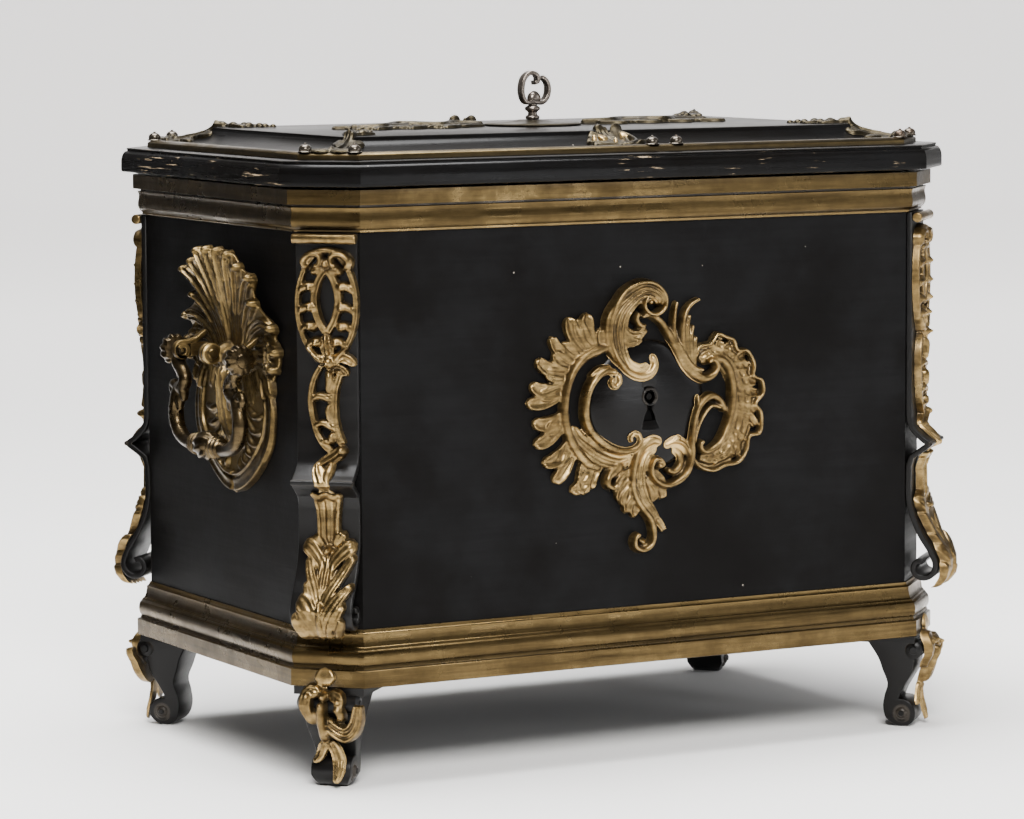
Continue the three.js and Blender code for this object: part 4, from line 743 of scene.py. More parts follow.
leaf_strands = [
    # the tail of the mount, over the knee, and the husk with its collar
    ([(-8, 190), (-5, 182), (0, 175), (1, 166)], (3.5, 5.5, 6.5, 8), (7, 6, 5, 6), fluted(2)),
    ([(5, 192), (5, 184), (3, 174)], (3, 4.4, 4), (6, 7, 5), rounded),
    ([(1, 168), (1, 150), (1.6, 120)], (12, 9.6, 9.4), (4, 5, 6), fluted(3)),
    ([(-13, 164), (-6, 160), (1, 162.5), (8, 160), (15, 163)], (3, 3.8, 3.4, 3.8, 3), (7, 8, 8, 8, 7),
     rounded),
    ([(-9, 160), (-7, 145), (-6, 124)], (2.4, 2.4, 2.6), (7, 7.5, 8), rounded),
    ([(12, 160), (9.5, 145), (9.5, 124)], (2.4, 2.4, 2.6), (7, 7.5, 8), rounded),
    # the body
    ([(2, 120), (2, 100), (1, 80), (1, 60), (1, 43)], (9, 10, 10, 12, 11), (8, 8, 7, 4, 2.4), fluted(4)),
    # the lobes, from their roots on the middle line up and out to their tips
    ([(-3, 116), (-8, 124), (-11.5, 129)], (4.42, 5.2, 4.16), (7, 10, 11), cupped),
    ([(7, 117), (13, 127), (16, 132)], (3.9, 4.94, 3.9), (7, 10, 11), cupped),
    ([(0, 98), (-5, 108), (-13, 118), (-20, 123)], (4.4, 6, 7.4, 7.6), (8, 10, 11.5, 12), cupped),
    ([(3, 98), (10, 109), (19, 118), (26, 121.5)], (4.4, 5.6, 7, 7), (8, 10, 11.5, 12), cupped),
    ([(-1, 70), (-4, 82), (-10, 95), (-13, 105), (-15, 111)], (4, 5, 5.2, 4.6, 3), (9, 10, 11, 11, 11),
     cupped),
    ([(3, 70), (8, 83), (16, 97), (22, 107), (26, 112)], (4, 5, 5, 4.4, 2.8), (9, 10, 11, 11, 11), cupped),
    ([(-2, 62), (-7, 74), (-11, 84), (-14, 92)], (4, 5, 4.6, 2.8), (9, 10, 11, 11), cupped),
    ([(-1, 50), (-6, 63), (-13, 74), (-20, 78)], (5.2, 7.8, 9.1, 8.58), (8, 11, 12.5, 13), cupped),
    ([(4, 52), (9, 65), (16, 77), (22, 84), (27, 89.5)], (4.4, 6, 6.2, 5, 3), (8, 11, 12, 12, 11), cupped),
    ([(4, 46), (11, 56), (17, 67), (22, 74)], (4, 5, 5, 3.4), (7, 9.5, 10.5, 10), cupped),
    ([(-10, 42), (-14.5, 51), (-18, 60), (-20, 67)], (5, 6, 6, 4), (8, 9.5, 10.5, 10), cupped),
    ([(-3.5, 42), (-6, 52), (-8, 63)], (4.68, 5.2, 3.9), (6, 9, 9), cupped),
    ([(1.8, 42), (1.6, 58), (1, 76)], (3.38, 3.9, 2.6), (7, 11, 11), rounded),
    ([(8, 42), (9.5, 53), (11, 62)], (3.4, 3.8, 3), (8, 9, 9), rounded),
    ([(15, 43), (18, 53), (20, 62)], (3.4, 4, 3), (8, 9, 9), rounded),
]
leaf_parts = [strand(*each) for each in leaf_strands] + [bead(1.9, 115.5, 4.4, 13)]
leaf = bent_out(cast("acanthus_leaf", leaf_parts, 0.8), STRAP_BULGE)
on_corners(leaf, "corner_leaf", gilt_mount, "gilt_mount")

# ---- Front ornament
# The lock is in the lid, so the front keyhole is false: a domed iron boss with a bushed eye. A gilt
# rococo casting frames it: a C-scroll with curled leaves, a crest, a plume, a shell edge and a
# hanging leaf. It is cast in one piece, chased, and pinned to the plate.
BOSS_RADIUS = 57
boss_low, boss_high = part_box("keyhole_boss")
eye_x = (boss_low.x + boss_high.x) / 2 / MM
eye_z = ((boss_low.z + boss_high.z) / 2 - case_bottom) / MM
face_y = plan.y


def frond(root, tips, half, rise, shape=spooned):
    """A curled leaf of several lobes that leave one root. Each tip is [x, z, sideways sway]."""
    lobes = []
    for x, z, sway in tips:
        step = Vector((x, z)) - Vector(root)
        aside = Vector((-step.y, step.x)) * sway
        first = Vector(root) + step * 0.35 + aside
        second = Vector(root) + step * 0.75 + aside * 0.9
        lobes.append(strand([root, first[:], second[:], (x, z)], half, rise, shape))
    return lobes


c_scroll = [
    strand([(-32, 275), (-46, 272), (-60, 267), (-72, 255), (-79, 236), (-80, 216), (-75, 198), (-67, 185),
            (-57, 175), (-44, 170)], (3, 5, 5, 4.6, 4.2, 4.2, 4.6, 5, 5, 4),
           (7, 9, 10, 10, 10, 10, 10, 10, 9, 7)),
    strand([(-71, 208), (-66, 198), (-57, 190), (-44, 181), (-28, 176), (-14, 178)],
           (5, 8, 10, 10, 9, 5), (4, 5, 6, 6.5, 6.5, 5), fluted(3)),
    strand([(-28, 252), (-40, 254), (-50, 248), (-57, 237), (-60, 221), (-57, 207), (-48, 196), (-36, 188),
            (-23, 184), (-12, 186), (-7, 193), (-11, 199), (-17, 196), (-15, 191)],
           (2.5, 4, 4.6, 4.6, 4.4, 4.4, 4.4, 4.6, 4.8, 4.2, 3.6, 3, 2.6, 2),
           (8, 9, 10, 10, 10, 10, 10, 10, 10, 10, 10, 11, 11, 11)),
    strand([(-34, 258), (-46, 257), (-56, 250)], (1.5, 1.8, 1.2), (6.5, 7, 6)),
    strand([(-28, 252), (-27, 244), (-32, 240), (-36, 244), (-32, 248)], (3, 3, 2.8, 2.4, 2),
           (8, 9, 10, 10, 11)),
]
left_fronds = [
    *frond((-48, 268), [(-75, 302, 0.12), (-56, 305, 0.1), (-68, 300, 0.05)], (4, 6, 7.5, 5.5),
           (6, 7, 8, 10)),
    *frond((-42, 272), [(-44, 291, 0.1)], (3, 4, 4, 2.5), (6, 7, 7, 8)),
    *frond((-62, 262), [(-92, 286, 0.12), (-80, 281, 0.05)], (4, 5.5, 6, 4), (6, 7, 8, 10)),
    *frond((-67, 255), [(-106, 267, 0.12), (-98, 256, 0.1), (-90, 272, 0.04)], (4, 6, 7, 5), (6, 7, 8, 10)),
    *frond((-74, 244), [(-112, 246, 0.14), (-116, 230, 0.1), (-104, 236, 0.05)], (4, 6, 7, 5),
           (6, 7, 8, 10)),
    *frond((-76, 222), [(-110, 214, 0.16), (-109, 194, 0.12), (-98, 204, 0.06)], (4, 6, 7, 5),
           (6, 7, 8, 10)),
    *frond((-72, 200), [(-101, 178, 0.16), (-91, 161, 0.12), (-86, 176, 0.06)], (4, 6, 7, 5),
           (6, 7, 8, 10)),
    *frond((-56, 180), [(-74, 152, 0.2), (-58, 148, -0.14), (-66, 160, 0.06)], (4, 6, 6.5, 4.6),
           (6, 7, 8, 10)),
    *frond((-42, 174), [(-52, 152, -0.16)], (4, 5, 5, 3), (6, 7, 8, 8)),
    strand([(-22, 174), (-30, 168), (-38, 162), (-38, 155), (-32, 153), (-30, 158)], (6, 6, 5, 4, 3, 2),
           (7, 8, 9, 10, 10, 10)),
]
crest = [
    strand([(-16, 253), (-26, 268), (-30, 286), (-27, 302), (-16, 314), (-2, 321), (10, 317), (15, 308)],
           (5, 9, 12, 13, 11, 9, 7.5, 5), (8, 9, 10, 11, 11.5, 11.5, 11.5, 11), fluted(5)),
    strand([(5, 267), (8, 258), (3, 250), (-8, 248), (-20, 254), (-31, 268), (-37, 288), (-32, 308),
            (-22, 322), (-6, 329), (8, 327), (17, 317), (16, 306), (8, 301), (-1, 304), (-4, 311), (0, 317),
            (6, 315)],
           (3.5, 4.5, 4.5, 4, 3.4, 3, 2.6, 2.6, 2.8, 3, 3, 3, 3, 2.8, 2.6, 2.4, 2.2, 2),
           (8, 10, 10, 10, 11, 11, 10, 10, 11, 12, 12, 12, 12.5, 13, 13, 13, 13.5, 13.5)),
    strand([(2, 258), (-8, 256), (-18, 262), (-25, 274)], (2.4, 3.4, 3, 2), (8, 9, 9, 8), grooved),
    bead(2, 312, 3.4, 14),
    *frond((-24, 294), [(1, 290, -0.3), (-3, 281, -0.34), (-10, 277, -0.3)], (3, 5, 5, 3), (8, 9, 9, 9),
           fluted(3)),
    strand([(-6, 304), (-10, 298), (-6, 292), (1, 292)], (3, 3, 3, 2), (9, 10, 10, 8)),
    strand([(-6, 299), (4, 300), (14, 295), (23, 283), (31, 270), (39, 257), (48, 248), (58, 243),
            (67, 246), (71, 254), (66, 259), (60, 256)], (2, 3.2, 3.6, 3.8, 4.2, 5, 6, 6, 5, 4, 3, 2.2),
           (9, 9, 9, 9, 9, 9, 9, 10, 10, 10.5, 11, 11)),
    strand([(30, 277), (38, 264), (46, 254), (58, 250)], (1.4, 2, 2.4, 2), (10, 10.5, 11, 10)),
]
plume = [
    strand([(40, 252), (32, 268), (28, 286), (29, 302), (32, 312)], (4, 4, 3.4, 2.8, 1.8), (8, 8, 8, 8, 7)),
    strand([(42, 252), (37, 272), (37, 292), (43, 306), (55, 313)], (4, 4, 3.6, 3, 1.8), (9, 9, 9, 8.5, 8)),
    strand([(44, 252), (41, 270), (41, 286), (44, 300)], (4, 4, 3.2, 2), (8, 9, 8, 8)),
    strand([(46, 250), (45, 266), (45, 280), (48, 291)], (4, 4, 3.2, 2), (8, 8.5, 8, 7.5)),
    strand([(48, 250), (48, 262), (49, 272), (51, 281)], (4, 4, 3.2, 2), (8, 8, 7.5, 7)),
]
shell_edge = [(50, 262), (54, 271), (65, 273), (72, 281), (80, 278), (88, 275), (92, 266), (102, 265),
              (109, 253), (108, 243), (117, 238), (118, 227), (110, 218), (116, 210), (115, 193),
              (104, 190), (101, 178), (93, 168), (80, 166), (67, 162), (54, 166), (47, 174)]
shell = [
    strand([(54, 258), (68, 264), (82, 260), (92, 248), (98, 232), (98, 214), (94, 196), (84, 181),
            (68, 174), (54, 175)], (7, 10, 12, 13, 13, 13, 13, 12, 10, 7), (5, 6, 6, 6, 6, 6, 6, 6, 6, 5),
           fluted(4)),
    strand(shell_edge, (2.1, 2.1), (8.5, 8.5)),
    strand([(62, 259), (74, 259), (83, 251), (87, 238), (87, 224), (85, 210), (80, 197), (73, 186),
            (64, 180), (56, 180), (53, 186), (58, 189)],
           (3, 4, 4.2, 4.2, 4.2, 4.2, 4.2, 4.2, 4, 3.6, 3, 2.4),
           (9, 10, 10, 10, 10, 10, 10, 10, 10, 10, 11, 11)),
    *frond((76, 258), [(76, 277, 0.1), (87, 272, 0.1), (63, 270, -0.1)], (3, 4.5, 5, 3.5), (7, 8, 9, 9.5)),
    *frond((84, 250), [(102, 261, 0.1), (106, 250, 0.1)], (3, 4.5, 5, 3.5), (7, 8, 9, 9.5)),
    *frond((88, 236), [(114, 236, 0.1), (115, 228, -0.08)], (3, 4.5, 5, 3.5), (7, 8, 9, 9.5)),
    *frond((87, 216), [(112, 209, 0.1), (112, 197, 0.1)], (3, 4.5, 5, 3.5), (7, 8, 9, 9.5)),
    *frond((80, 196), [(99, 184, 0.1), (92, 172, 0.1)], (3, 4.5, 5, 3.5), (7, 8, 9, 9.5)),
    *frond((68, 182), [(79, 169, 0.1), (67, 166, 0.1), (56, 169, -0.1)], (3, 4.2, 4.4, 3), (7, 8, 8, 8.5)),
]
loop = [
    strand([(80, 212), (74, 223), (64, 227), (53, 220), (47, 206), (45, 190), (45, 176), (40, 162),
            (31, 155), (19, 152), (8, 157), (3, 166), (5, 174), (11, 176), (15, 171), (11, 168)],
           (3.4, 4, 4.2, 4, 3.6, 3.4, 3.6, 3.8, 4, 4, 3.6, 3.2, 3, 2.8, 2.4, 2),
           (9, 10, 10.5, 11, 11, 11, 11, 11, 11, 11, 11.5, 12, 12.5, 13, 13, 13)),
    strand([(75, 216), (65, 219), (56, 211), (50, 198), (48, 186)], (1.8, 2.2, 2.2, 2, 1.6),
           (10, 11, 11, 10, 9)),
    strand([(52, 230), (51, 223), (54, 216)], (2, 3, 3), (8, 10, 10)),
    strand([(17, 186), (28, 190), (38, 186), (43, 176)], (3.4, 5, 5, 3), (8, 9.5, 9.5, 9), fluted(2)),
    strand([(26, 184), (34, 178), (35, 169), (28, 163), (20, 166)], (3.6, 4.2, 4, 3.4, 2.6),
           (6, 7, 7, 8, 8)),
    strand([(26, 188), (31, 193), (35, 192)], (3, 3, 2), (8, 9, 8)),
    bead(11, 170, 4, 14),
]
pendant = [
    strand([(15, 189), (6, 192), (-4, 187), (-11, 175), (-14, 158), (-11, 144), (-4, 133), (4, 123),
            (7, 112), (5, 102), (-3, 97), (-11, 100), (-12, 108), (-6, 112)],
           (4, 5, 4.6, 4, 3.6, 3.6, 3.6, 3.6, 3.6, 3.6, 3.4, 3.2, 3, 2.4),
           (9, 10, 10, 10, 10, 10, 10, 10, 10, 10, 10, 10, 10.5, 10.5)),
    strand([(10, 186), (0, 180), (-5, 168), (-5, 154), (-1, 142), (6, 132), (12, 122)],
           (4, 5, 5.5, 5.5, 4.6, 4, 3), (7, 8, 8.5, 8.5, 8.5, 8.5, 8), fluted(3)),
    strand([(-4, 107), (-3, 104), (-6, 103)], (5.5, 6, 5), (6, 7.5, 7)),
    strand([(1, 134), (8, 126), (14, 119), (19, 111)], (3, 4, 4, 3), (8, 9, 9, 9), spooned),
    *frond((-10, 166), [(-29, 148, -0.15), (-26, 140, -0.1)], (4, 5.5, 6, 4), (7, 8, 9, 9)),
    *frond((-10, 152), [(-22, 136, -0.15), (-18, 129, -0.1)], (4, 5, 5.5, 3.6), (7, 8, 9, 9)),
    *frond((-8, 142), [(-9, 125, -0.15)], (4, 4.6, 4.6, 3), (7, 8, 8, 8)),
    *frond((-2, 164), [(16, 147, 0.2), (17, 139, 0.12), (6, 137, 0.1)], (4, 6, 6.5, 4), (7, 8, 9, 9)),
]
cartouche = cast("front_cartouche_gilt", c_scroll + left_fronds + crest + plume + shell + loop + pendant,
                 0.95)
for vert in cartouche.data.vertices:
    off = math.hypot(vert.co.x / MM - eye_x, vert.co.z / MM - eye_z) / (BOSS_RADIUS + 2)
    seat = 7.6 * MM * math.sqrt(max(0.0, 1 - off * off)) if off < 1 else 0.0
    vert.co.y = min(vert.co.y, -SEAT - seat)
cartouche.data.transform(Matrix.Translation((0, -face_y, case_bottom)))
finished(cartouche, gilt_mount, "case", "gilt_mount", "front_cartouche")

# ---- False keyhole
# The boss inside the ornament is a shallow dome of black iron. Its eye is bushed with a thin ring,
# and the keyhole goes through the dome to the plate behind it.


def turned(name, profile, sides):
    """A turned form about Z, from [radius, height] points in millimetres. It starts and ends on the
    axis."""
    bpy.ops.mesh.primitive_circle_add(vertices=sides)
    piece = bpy.context.object
    piece.name = name
    bpy.ops.object.mode_set(mode="EDIT")
    for i, (radius, height) in enumerate(profile[1:-1]):
        if i:
            bpy.ops.mesh.extrude_edges_move()
        for vert in [v for v in bmesh.from_edit_mesh(piece.data).verts if v.select]:
            flat = vert.co.xy.normalized() * radius * MM
            vert.co = (flat.x, flat.y, height * MM)
        bmesh.update_edit_mesh(piece.data)
    for height, first in ((profile[-1][1], False), (profile[0][1], True)):
        if first:
            sheet = bmesh.from_edit_mesh(piece.data)
            for vert in sheet.verts:
                vert.select = abs(vert.co.z - profile[1][1] * MM) < 1e-7 and len(vert.link_faces) == 2
            sheet.select_flush_mode()
            bmesh.update_edit_mesh(piece.data)
        bpy.ops.mesh.extrude_edges_move()
        bpy.ops.mesh.merge(type="CENTER")
        for vert in [v for v in bmesh.from_edit_mesh(piece.data).verts if v.select]:
            vert.co = (0, 0, height * MM)
        bmesh.update_edit_mesh(piece.data)
    bpy.ops.object.mode_set(mode="OBJECT")
    return finish_mesh(piece, 40)


def slab(name, outline, depth):
    """A plate cut to an outline in x and z, in millimetres, standing out from y = 0 towards -Y."""
    piece = sheet_cut(name, [(x * MM, z * MM) for x, z in outline], depth * MM)
    for vert in piece.data.vertices:
        x, z, off = vert.co
        vert.co = (x, -off - depth / 2 * MM, z)
    return finish_mesh(piece, 40)


def cut_out(piece, tool):
    """Cuts a tool out of a piece."""
    cut = piece.modifiers.new("cut", "BOOLEAN")
    cut.object = tool
    cut.operation = "DIFFERENCE"
    bpy.context.view_layer.objects.active = piece
    bpy.ops.object.modifier_apply(modifier="cut")
    bpy.data.objects.remove(tool)


boss_profile = [(0, 0), (BOSS_RADIUS - 0.2, 0), (BOSS_RADIUS, 0.7)]
boss_profile += [(BOSS_RADIUS * math.cos(a), 0.7 + 6.1 * math.sin(a))
                 for a in (0.2, 0.45, 0.7, 0.95, 1.15, 1.35, 1.48)]
boss = turned("keyhole_boss_dome", boss_profile + [(0, 6.85)], 96)
boss.data.transform(quarter_turn("X"))
boss.data.transform(Matrix.Translation((eye_x * MM, -face_y - SEAT, eye_z * MM + case_bottom)))
keyhole_z = eye_z + 8
keyhole = arc((eye_x, keyhole_z), (5.6, 5.6), -60, 240, 28)
keyhole += [(eye_x - 2.6, keyhole_z - 11), (eye_x - 5.6, keyhole_z - 17), (eye_x - 6.4, keyhole_z - 21),
            (eye_x + 6.4, keyhole_z - 21), (eye_x + 5.6, keyhole_z - 17), (eye_x + 2.6, keyhole_z - 11)]
tool = slab("keyhole", keyhole, 30)
tool.data.transform(Matrix.Translation((0, -face_y + 20 * MM, case_bottom)))
cut_out(boss, tool)
bpy.ops.mesh.primitive_torus_add(major_segments=40, minor_segments=10, major_radius=6.9 * MM,
                                 minor_radius=1.2 * MM)
bush = bpy.context.object
bpy.ops.object.shade_smooth()
bush.data.transform(quarter_turn("X"))
bush.data.transform(Matrix.Translation((eye_x * MM, -face_y - 7 * MM, keyhole_z * MM + case_bottom)))
boss = welded("keyhole_boss_finish", boss, bush)
boss_iron = blackened_iron("boss_iron", (0.0022, 0.0021, 0.0022), (0.0014, 0.0009, 0.0006),
                           (0.03, 0.025, 0.02), 0.2, 120.0, 0.78, 0.15)
finished(boss, boss_iron, "case", "black_iron", "keyhole_boss")

# ---- Side handles
# A large gilt-bronze drop handle hangs on each side. Its plate is a palmette above and a ribbed
# shell below. Two scrolled lugs hold the pins, and the bail has two S arms and a gadrooned knob.
PIVOT_HEIGHT = 270
PIVOT_OUT = 29
BAIL_WIDE = 66
HANDLE_OFFSET = 37  # towards the front
LUG_MIDDLE = 52.5
LUG_WIDTH = 7
bail_low = PIVOT_HEIGHT - 78


def limb(points, radii):
    """A round bar of varying radius along a path in x and z, in millimetres, with round ends."""
    chosen = [Vector(p) for p in points]
    reach = sum((b - a).length for a, b in zip(chosen, chosen[1:]))
    steps = max(6, int(reach / 1.6))
    path = smooth_path(points, steps)
    sides = path_sides(path)
    bpy.ops.mesh.primitive_grid_add(x_subdivisions=14, y_subdivisions=steps, size=2)
    piece = bpy.context.object
    for vert in piece.data.vertices:
        turn = math.pi * (vert.co.x + 1)
        j = round((vert.co.y + 1) / 2 * steps)
        radius = along(radii, j / steps)
        near = min(j, steps - j) * reach / steps / max(radius, 0.5)
        radius *= math.sqrt(max(0.01, 1 - (1 - min(1.0, near)) ** 2))
        spot = path[j] + sides[j] * radius * math.cos(turn)
        vert.co = (spot.x * MM, -radius * math.sin(turn) * MM, spot.y * MM)
    return piece


def roller(x, out, z, radius, length, rings=0):
    """A small barrel along X with a boss on each end. Rings are ridges round it."""
    profile = [(0, -length / 2 - 1.6), (radius * 0.4, -length / 2 - 1.5), (radius * 0.5, -length / 2 - 0.4),
               (radius * 0.8, -length / 2), (radius, -length / 2 + 1.4)]
    for i in range(rings):
        middle = -length / 2 + length * (i + 0.5) / rings
        profile += [(radius - 1.6, middle - length / rings * 0.45), (radius, middle - length / rings * 0.2),
                    (radius, middle + length / rings * 0.2), (radius - 1.6, middle + length / rings * 0.45)]
    profile += [(radius, length / 2 - 1.4), (radius * 0.8, length / 2), (radius * 0.5, length / 2 + 0.4),
                (radius * 0.4, length / 2 + 1.5), (0, length / 2 + 1.6)]
    piece = turned("roller", profile, 28)
    piece.data.transform(quarter_turn("Y"))
    piece.data.transform(Matrix.Translation(Vector((x, -out, z)) * MM))
    return piece


def both_sides(points, *shape):
    """A strand and its mirror image."""
    return [strand(points, *shape), strand(mirrored(points), *shape)]


plate_edge = [(0, 357), (10, 360), (22, 361), (36, 358), (46, 350), (53, 344), (66, 343), (70, 336),
              (62, 327), (61, 318), (69, 310), (84, 303), (89, 296), (84, 288), (89, 279), (90, 267),
              (81, 257), (73, 242), (79, 226), (77, 204), (67, 187), (43, 168), (18, 155), (0, 149.5)]
plate_half = [p[:] for p in smooth_path(plate_edge, 66)]
plate_parts = [slab("sheet", plate_half + mirrored(plate_half[1:-1])[::-1], 3.4)]
shell_rim = [(68, 244), (73, 226), (71, 206), (61.5, 191), (41, 173), (18, 160.5), (-1, 156)]
plate_parts += both_sides(shell_rim, (5.2, 6.2, 6.4, 6.4), (7, 8.5, 9, 9.5), grooved)
plate_parts += both_sides([(61, 238), (64.5, 224), (62, 208), (54, 195), (37, 180), (17, 169), (0, 166)],
                          (1.6, 2, 2.2, 2.2), (6, 8, 8.5, 8.5))
shell_flutes = [((24, 226), (44, 219), (59, 222)), ((24, 216), (42, 206), (57, 208)),
                ((23, 206), (39, 195), (51, 196)), ((21, 197), (32, 186), (42, 186)),
                ((17, 189), (24, 179), (32, 178)), ((11, 184), (14, 174), (20, 171))]
for path in shell_flutes:
    plate_parts += both_sides(path, (4.2, 4.4, 3), (5, 8, 5))
palmette = [
    ((2, 276), (11, 359), 0.02), ((6, 276), (31, 357), 0.03), ((10, 274), (46, 347), 0.06),
    ((14, 272), (67, 339), 0.1), ((18, 270), (60, 317), 0.1), ((22, 268), (86, 297), 0.16),
    ((26, 264), (89, 277), 0.16), ((30, 258), (84, 262), 0.14),
]
for (x0, z0), (x1, z1), sway in palmette:
    step = Vector((x1 - x0, z1 - z0))
    aside = Vector((-step.y, step.x)) * sway
    path = [(x0, z0), (Vector((x0, z0)) + step * 0.4 + aside)[:],
            (Vector((x0, z0)) + step * 0.78 + aside * 0.8)[:], (x1, z1)]
    plate_parts += both_sides(path, (4, 7, 8.4, 6), (8, 8, 8, 10), fluted(3))
    plate_parts += both_sides([path[1], path[2], path[3]], (1.2, 1.5, 1.5), (9, 10, 12))
    plate_parts += [bead(x1, z1, 4.6, 12), bead(-x1, z1, 4.6, 12)]
plate_parts += [
    strand([(0, 274), (0, 300), (0, 346)], (5, 6, 4), (10, 10, 8), fluted(2)),
    *both_sides([(68, 292), (75, 280), (73, 266), (66, 254)], (4, 5, 5, 3), (10, 14, 14, 10), spooned),
    *both_sides([(60, 262), (69, 254), (74, 245), (77, 238)], (4.6, 6.5, 6, 3.6), (8, 11, 12, 11), spooned),
    *both_sides([(58, 256), (62, 246), (67, 234)], (4, 6, 4), (8, 10, 10), fluted(2)),
    strand([(0, 266), (0, 246), (0, 220), (0, 190)], (10, 16, 19, 8), (20, 20, 17, 9), fluted(5)),
    *both_sides([(22, 262), (29, 246), (36, 226)], (8, 10, 7), (6.5, 7, 6), fluted(4)),
    *both_sides([(40, 262), (46, 248), (50, 236)], (8, 9, 6), (6.5, 7, 6), fluted(4)),
    *both_sides([(4, 256), (13, 243), (20, 236), (27, 238)], (4, 6.5, 6, 3.6), (19, 19, 16, 15), spooned),
    *both_sides([(5, 236), (15, 222), (23, 216), (30, 219)], (4, 6.5, 6, 3.6), (18, 18, 15, 14), spooned),
    *both_sides([(4, 214), (12, 200), (18, 195), (24, 198)], (4, 5.6, 5, 3), (15, 15, 13, 12), spooned),
    bead(0, PIVOT_HEIGHT, 12, 24),
]
plate = cast("handle_plate", plate_parts, 1.0)
# the palmette curls away from the wall towards its top
bent_out(plate, [(370, 19), (345, 15), (320, 8.5), (300, 3.5), (284, 0), (270, 0)])


def lug(side):
    """A scroll that rises from the plate and rolls up round the pin."""
    wind = []
    for i in range(22):
        turn = math.radians(70 - 400 * i / 21)
        radius = 7 - 3.2 * i / 21
        wind.append((PIVOT_OUT + radius * math.cos(turn), PIVOT_HEIGHT + radius * math.sin(turn)))
    stem = smooth_path([(2, 289), (8, 285), (16, 279), (24, 277), wind[0]], 12)
    outline = [p * MM for p in ribbon(stem[:-1] + [Vector(p) for p in wind], 4.2)]
    piece = cut_across("lug", outline, LUG_WIDTH * MM, 0.8 * MM)
    foot = slab("foot", [(-3.5, 265), (3.5, 265), (3.5, 277), (-3.5, 277)], 22)
    piece = welded("lug", piece, foot)
    piece.data.transform(Matrix.Translation((side * LUG_MIDDLE * MM, 0, 0)))
    return piece


hub_pins = [roller(0, PIVOT_OUT - 3, PIVOT_HEIGHT + 1, 9.2, 12, 2)]
for side in (-1, 1):
    hub_pins.append(roller(side * 60, PIVOT_OUT, PIVOT_HEIGHT, 3.4, 15))
plate = welded("handle_plate", plate, lug(-1), lug(1), *hub_pins)

upper_arm = [(64, 266), (58, 257), (50, 251.5), (46, 245), (51, 239), (61, 237), (69, 240), (72, 235),
             (68, 230.5), (64, 233.5)]
lower_arm = [(52, 242), (62, 232), (66.5, 216), (62, 202), (48, 193.5), (30, 191), (14, 191.5)]
bail_parts = []
for side in (-1, 1):
    bail_parts += [
        limb([(side * x, z) for x, z in upper_arm], (6, 6.4, 6, 6, 6.2, 6, 5, 4.2, 3.4, 2.8)),
        limb([(side * x, z) for x, z in lower_arm], (5, 6.4, 7, 6.6, 6.2, 6, 6.4)),
        limb([(side * 57, 243), (side * 50, 234), (side * 48, 225)], (4.4, 5, 2.6)),
        limb([(side * 60, 236), (side * 57, 226), (side * 58, 216)], (4, 4.4, 2.4)),
        limb([(side * 62, 258), (side * 56, 250), (side * 60, 246)], (4.4, 4, 3)),
        *[roller(side * x, 0, bail_low - 0.4, radius, 3.4)
          for x, radius in ((16, 10.4), (21.5, 10), (27, 9))],
    ]
bail = fused("handle_bail", bail_parts, 0.9)
bpy.ops.object.shade_smooth()


def gadrooned(name, profile, lobes, twist, depth, at):
    """A turned bulb along X with slanting lobes round it."""
    piece = turned(name, profile, lobes * 8)
    for vert in piece.data.vertices:
        fade = min(1.0, max(0.0, (vert.co.xy.length / MM - 5) / 4))
        lift = 1 + fade * depth * math.cos(lobes * math.atan2(vert.co.y, vert.co.x) + twist * vert.co.z)
        vert.co.x *= lift
        vert.co.y *= lift
    piece.data.transform(Matrix.Translation(Vector(at) * MM) @ quarter_turn("Y"))
    return piece


knob_profile = [(0, -14), (6, -13.8), (8.6, -11.5), (10.8, -8), (11.9, -4), (12.3, 0), (11.9, 4), (10.8, 8),
                (8.6, 11.5), (6, 13.8), (0, 14)]
bail = welded("handle_bail", bail, gadrooned("knob", knob_profile, 9, 260, 0.085, (0, 0, bail_low)))
drum_profile = [(0, -9), (3, -9), (5.6, -8.4), (6.4, -6.6), (8, -6.4), (11.4, -5.6), (12.9, -2.5),
                (13.2, 0), (12.9, 2.5), (11.4, 5.6), (8, 6.4), (6.4, 6.6), (5.6, 8.4), (3, 9), (0, 9)]
for side in (-1, 1):
    drum = gadrooned("drum", drum_profile, 11, side * 160, 0.06, (side * (BAIL_WIDE + 1), 0, PIVOT_HEIGHT))
    bail = welded("handle_bail", bail, drum)

plate_gilt = gilding("handle_plate_gilt", (0.19, 0.13, 0.05), (0.075, 0.048, 0.018),
                     (0.004, 0.0026, 0.0014), 0.011, 0.29, 0.9, 200.0, 6.0, 0.5)
bail_bronze = gilding("bail_bronze", (0.12, 0.085, 0.04), (0.05, 0.034, 0.017),
                      (0.004, 0.003, 0.002), 0.009, 0.24, 0.8, 220.0)
for name, side in (("left", -1), ("right", 1)):
    face = Matrix.Translation((side * (plan.x + SEAT), -HANDLE_OFFSET * MM, case_bottom))
    face = face @ Matrix.Rotation(side * math.pi / 2, 4, "Z")
    for piece, base, body, out, finish in ((plate, "plate", "case", 0, plate_gilt),
                                           (bail, "bail", f"{name}_bail", PIVOT_OUT, bail_bronze)):
        copy = copied(piece, f"handle_{base}_{name}_finish")
        copy.data.transform(face @ Matrix.Translation((0, -out * MM, 0)))
        finished(copy, finish, body, "handle_brass", f"handle_{base}_{name}")
bpy.data.objects.remove(plate)
bpy.data.objects.remove(bail)

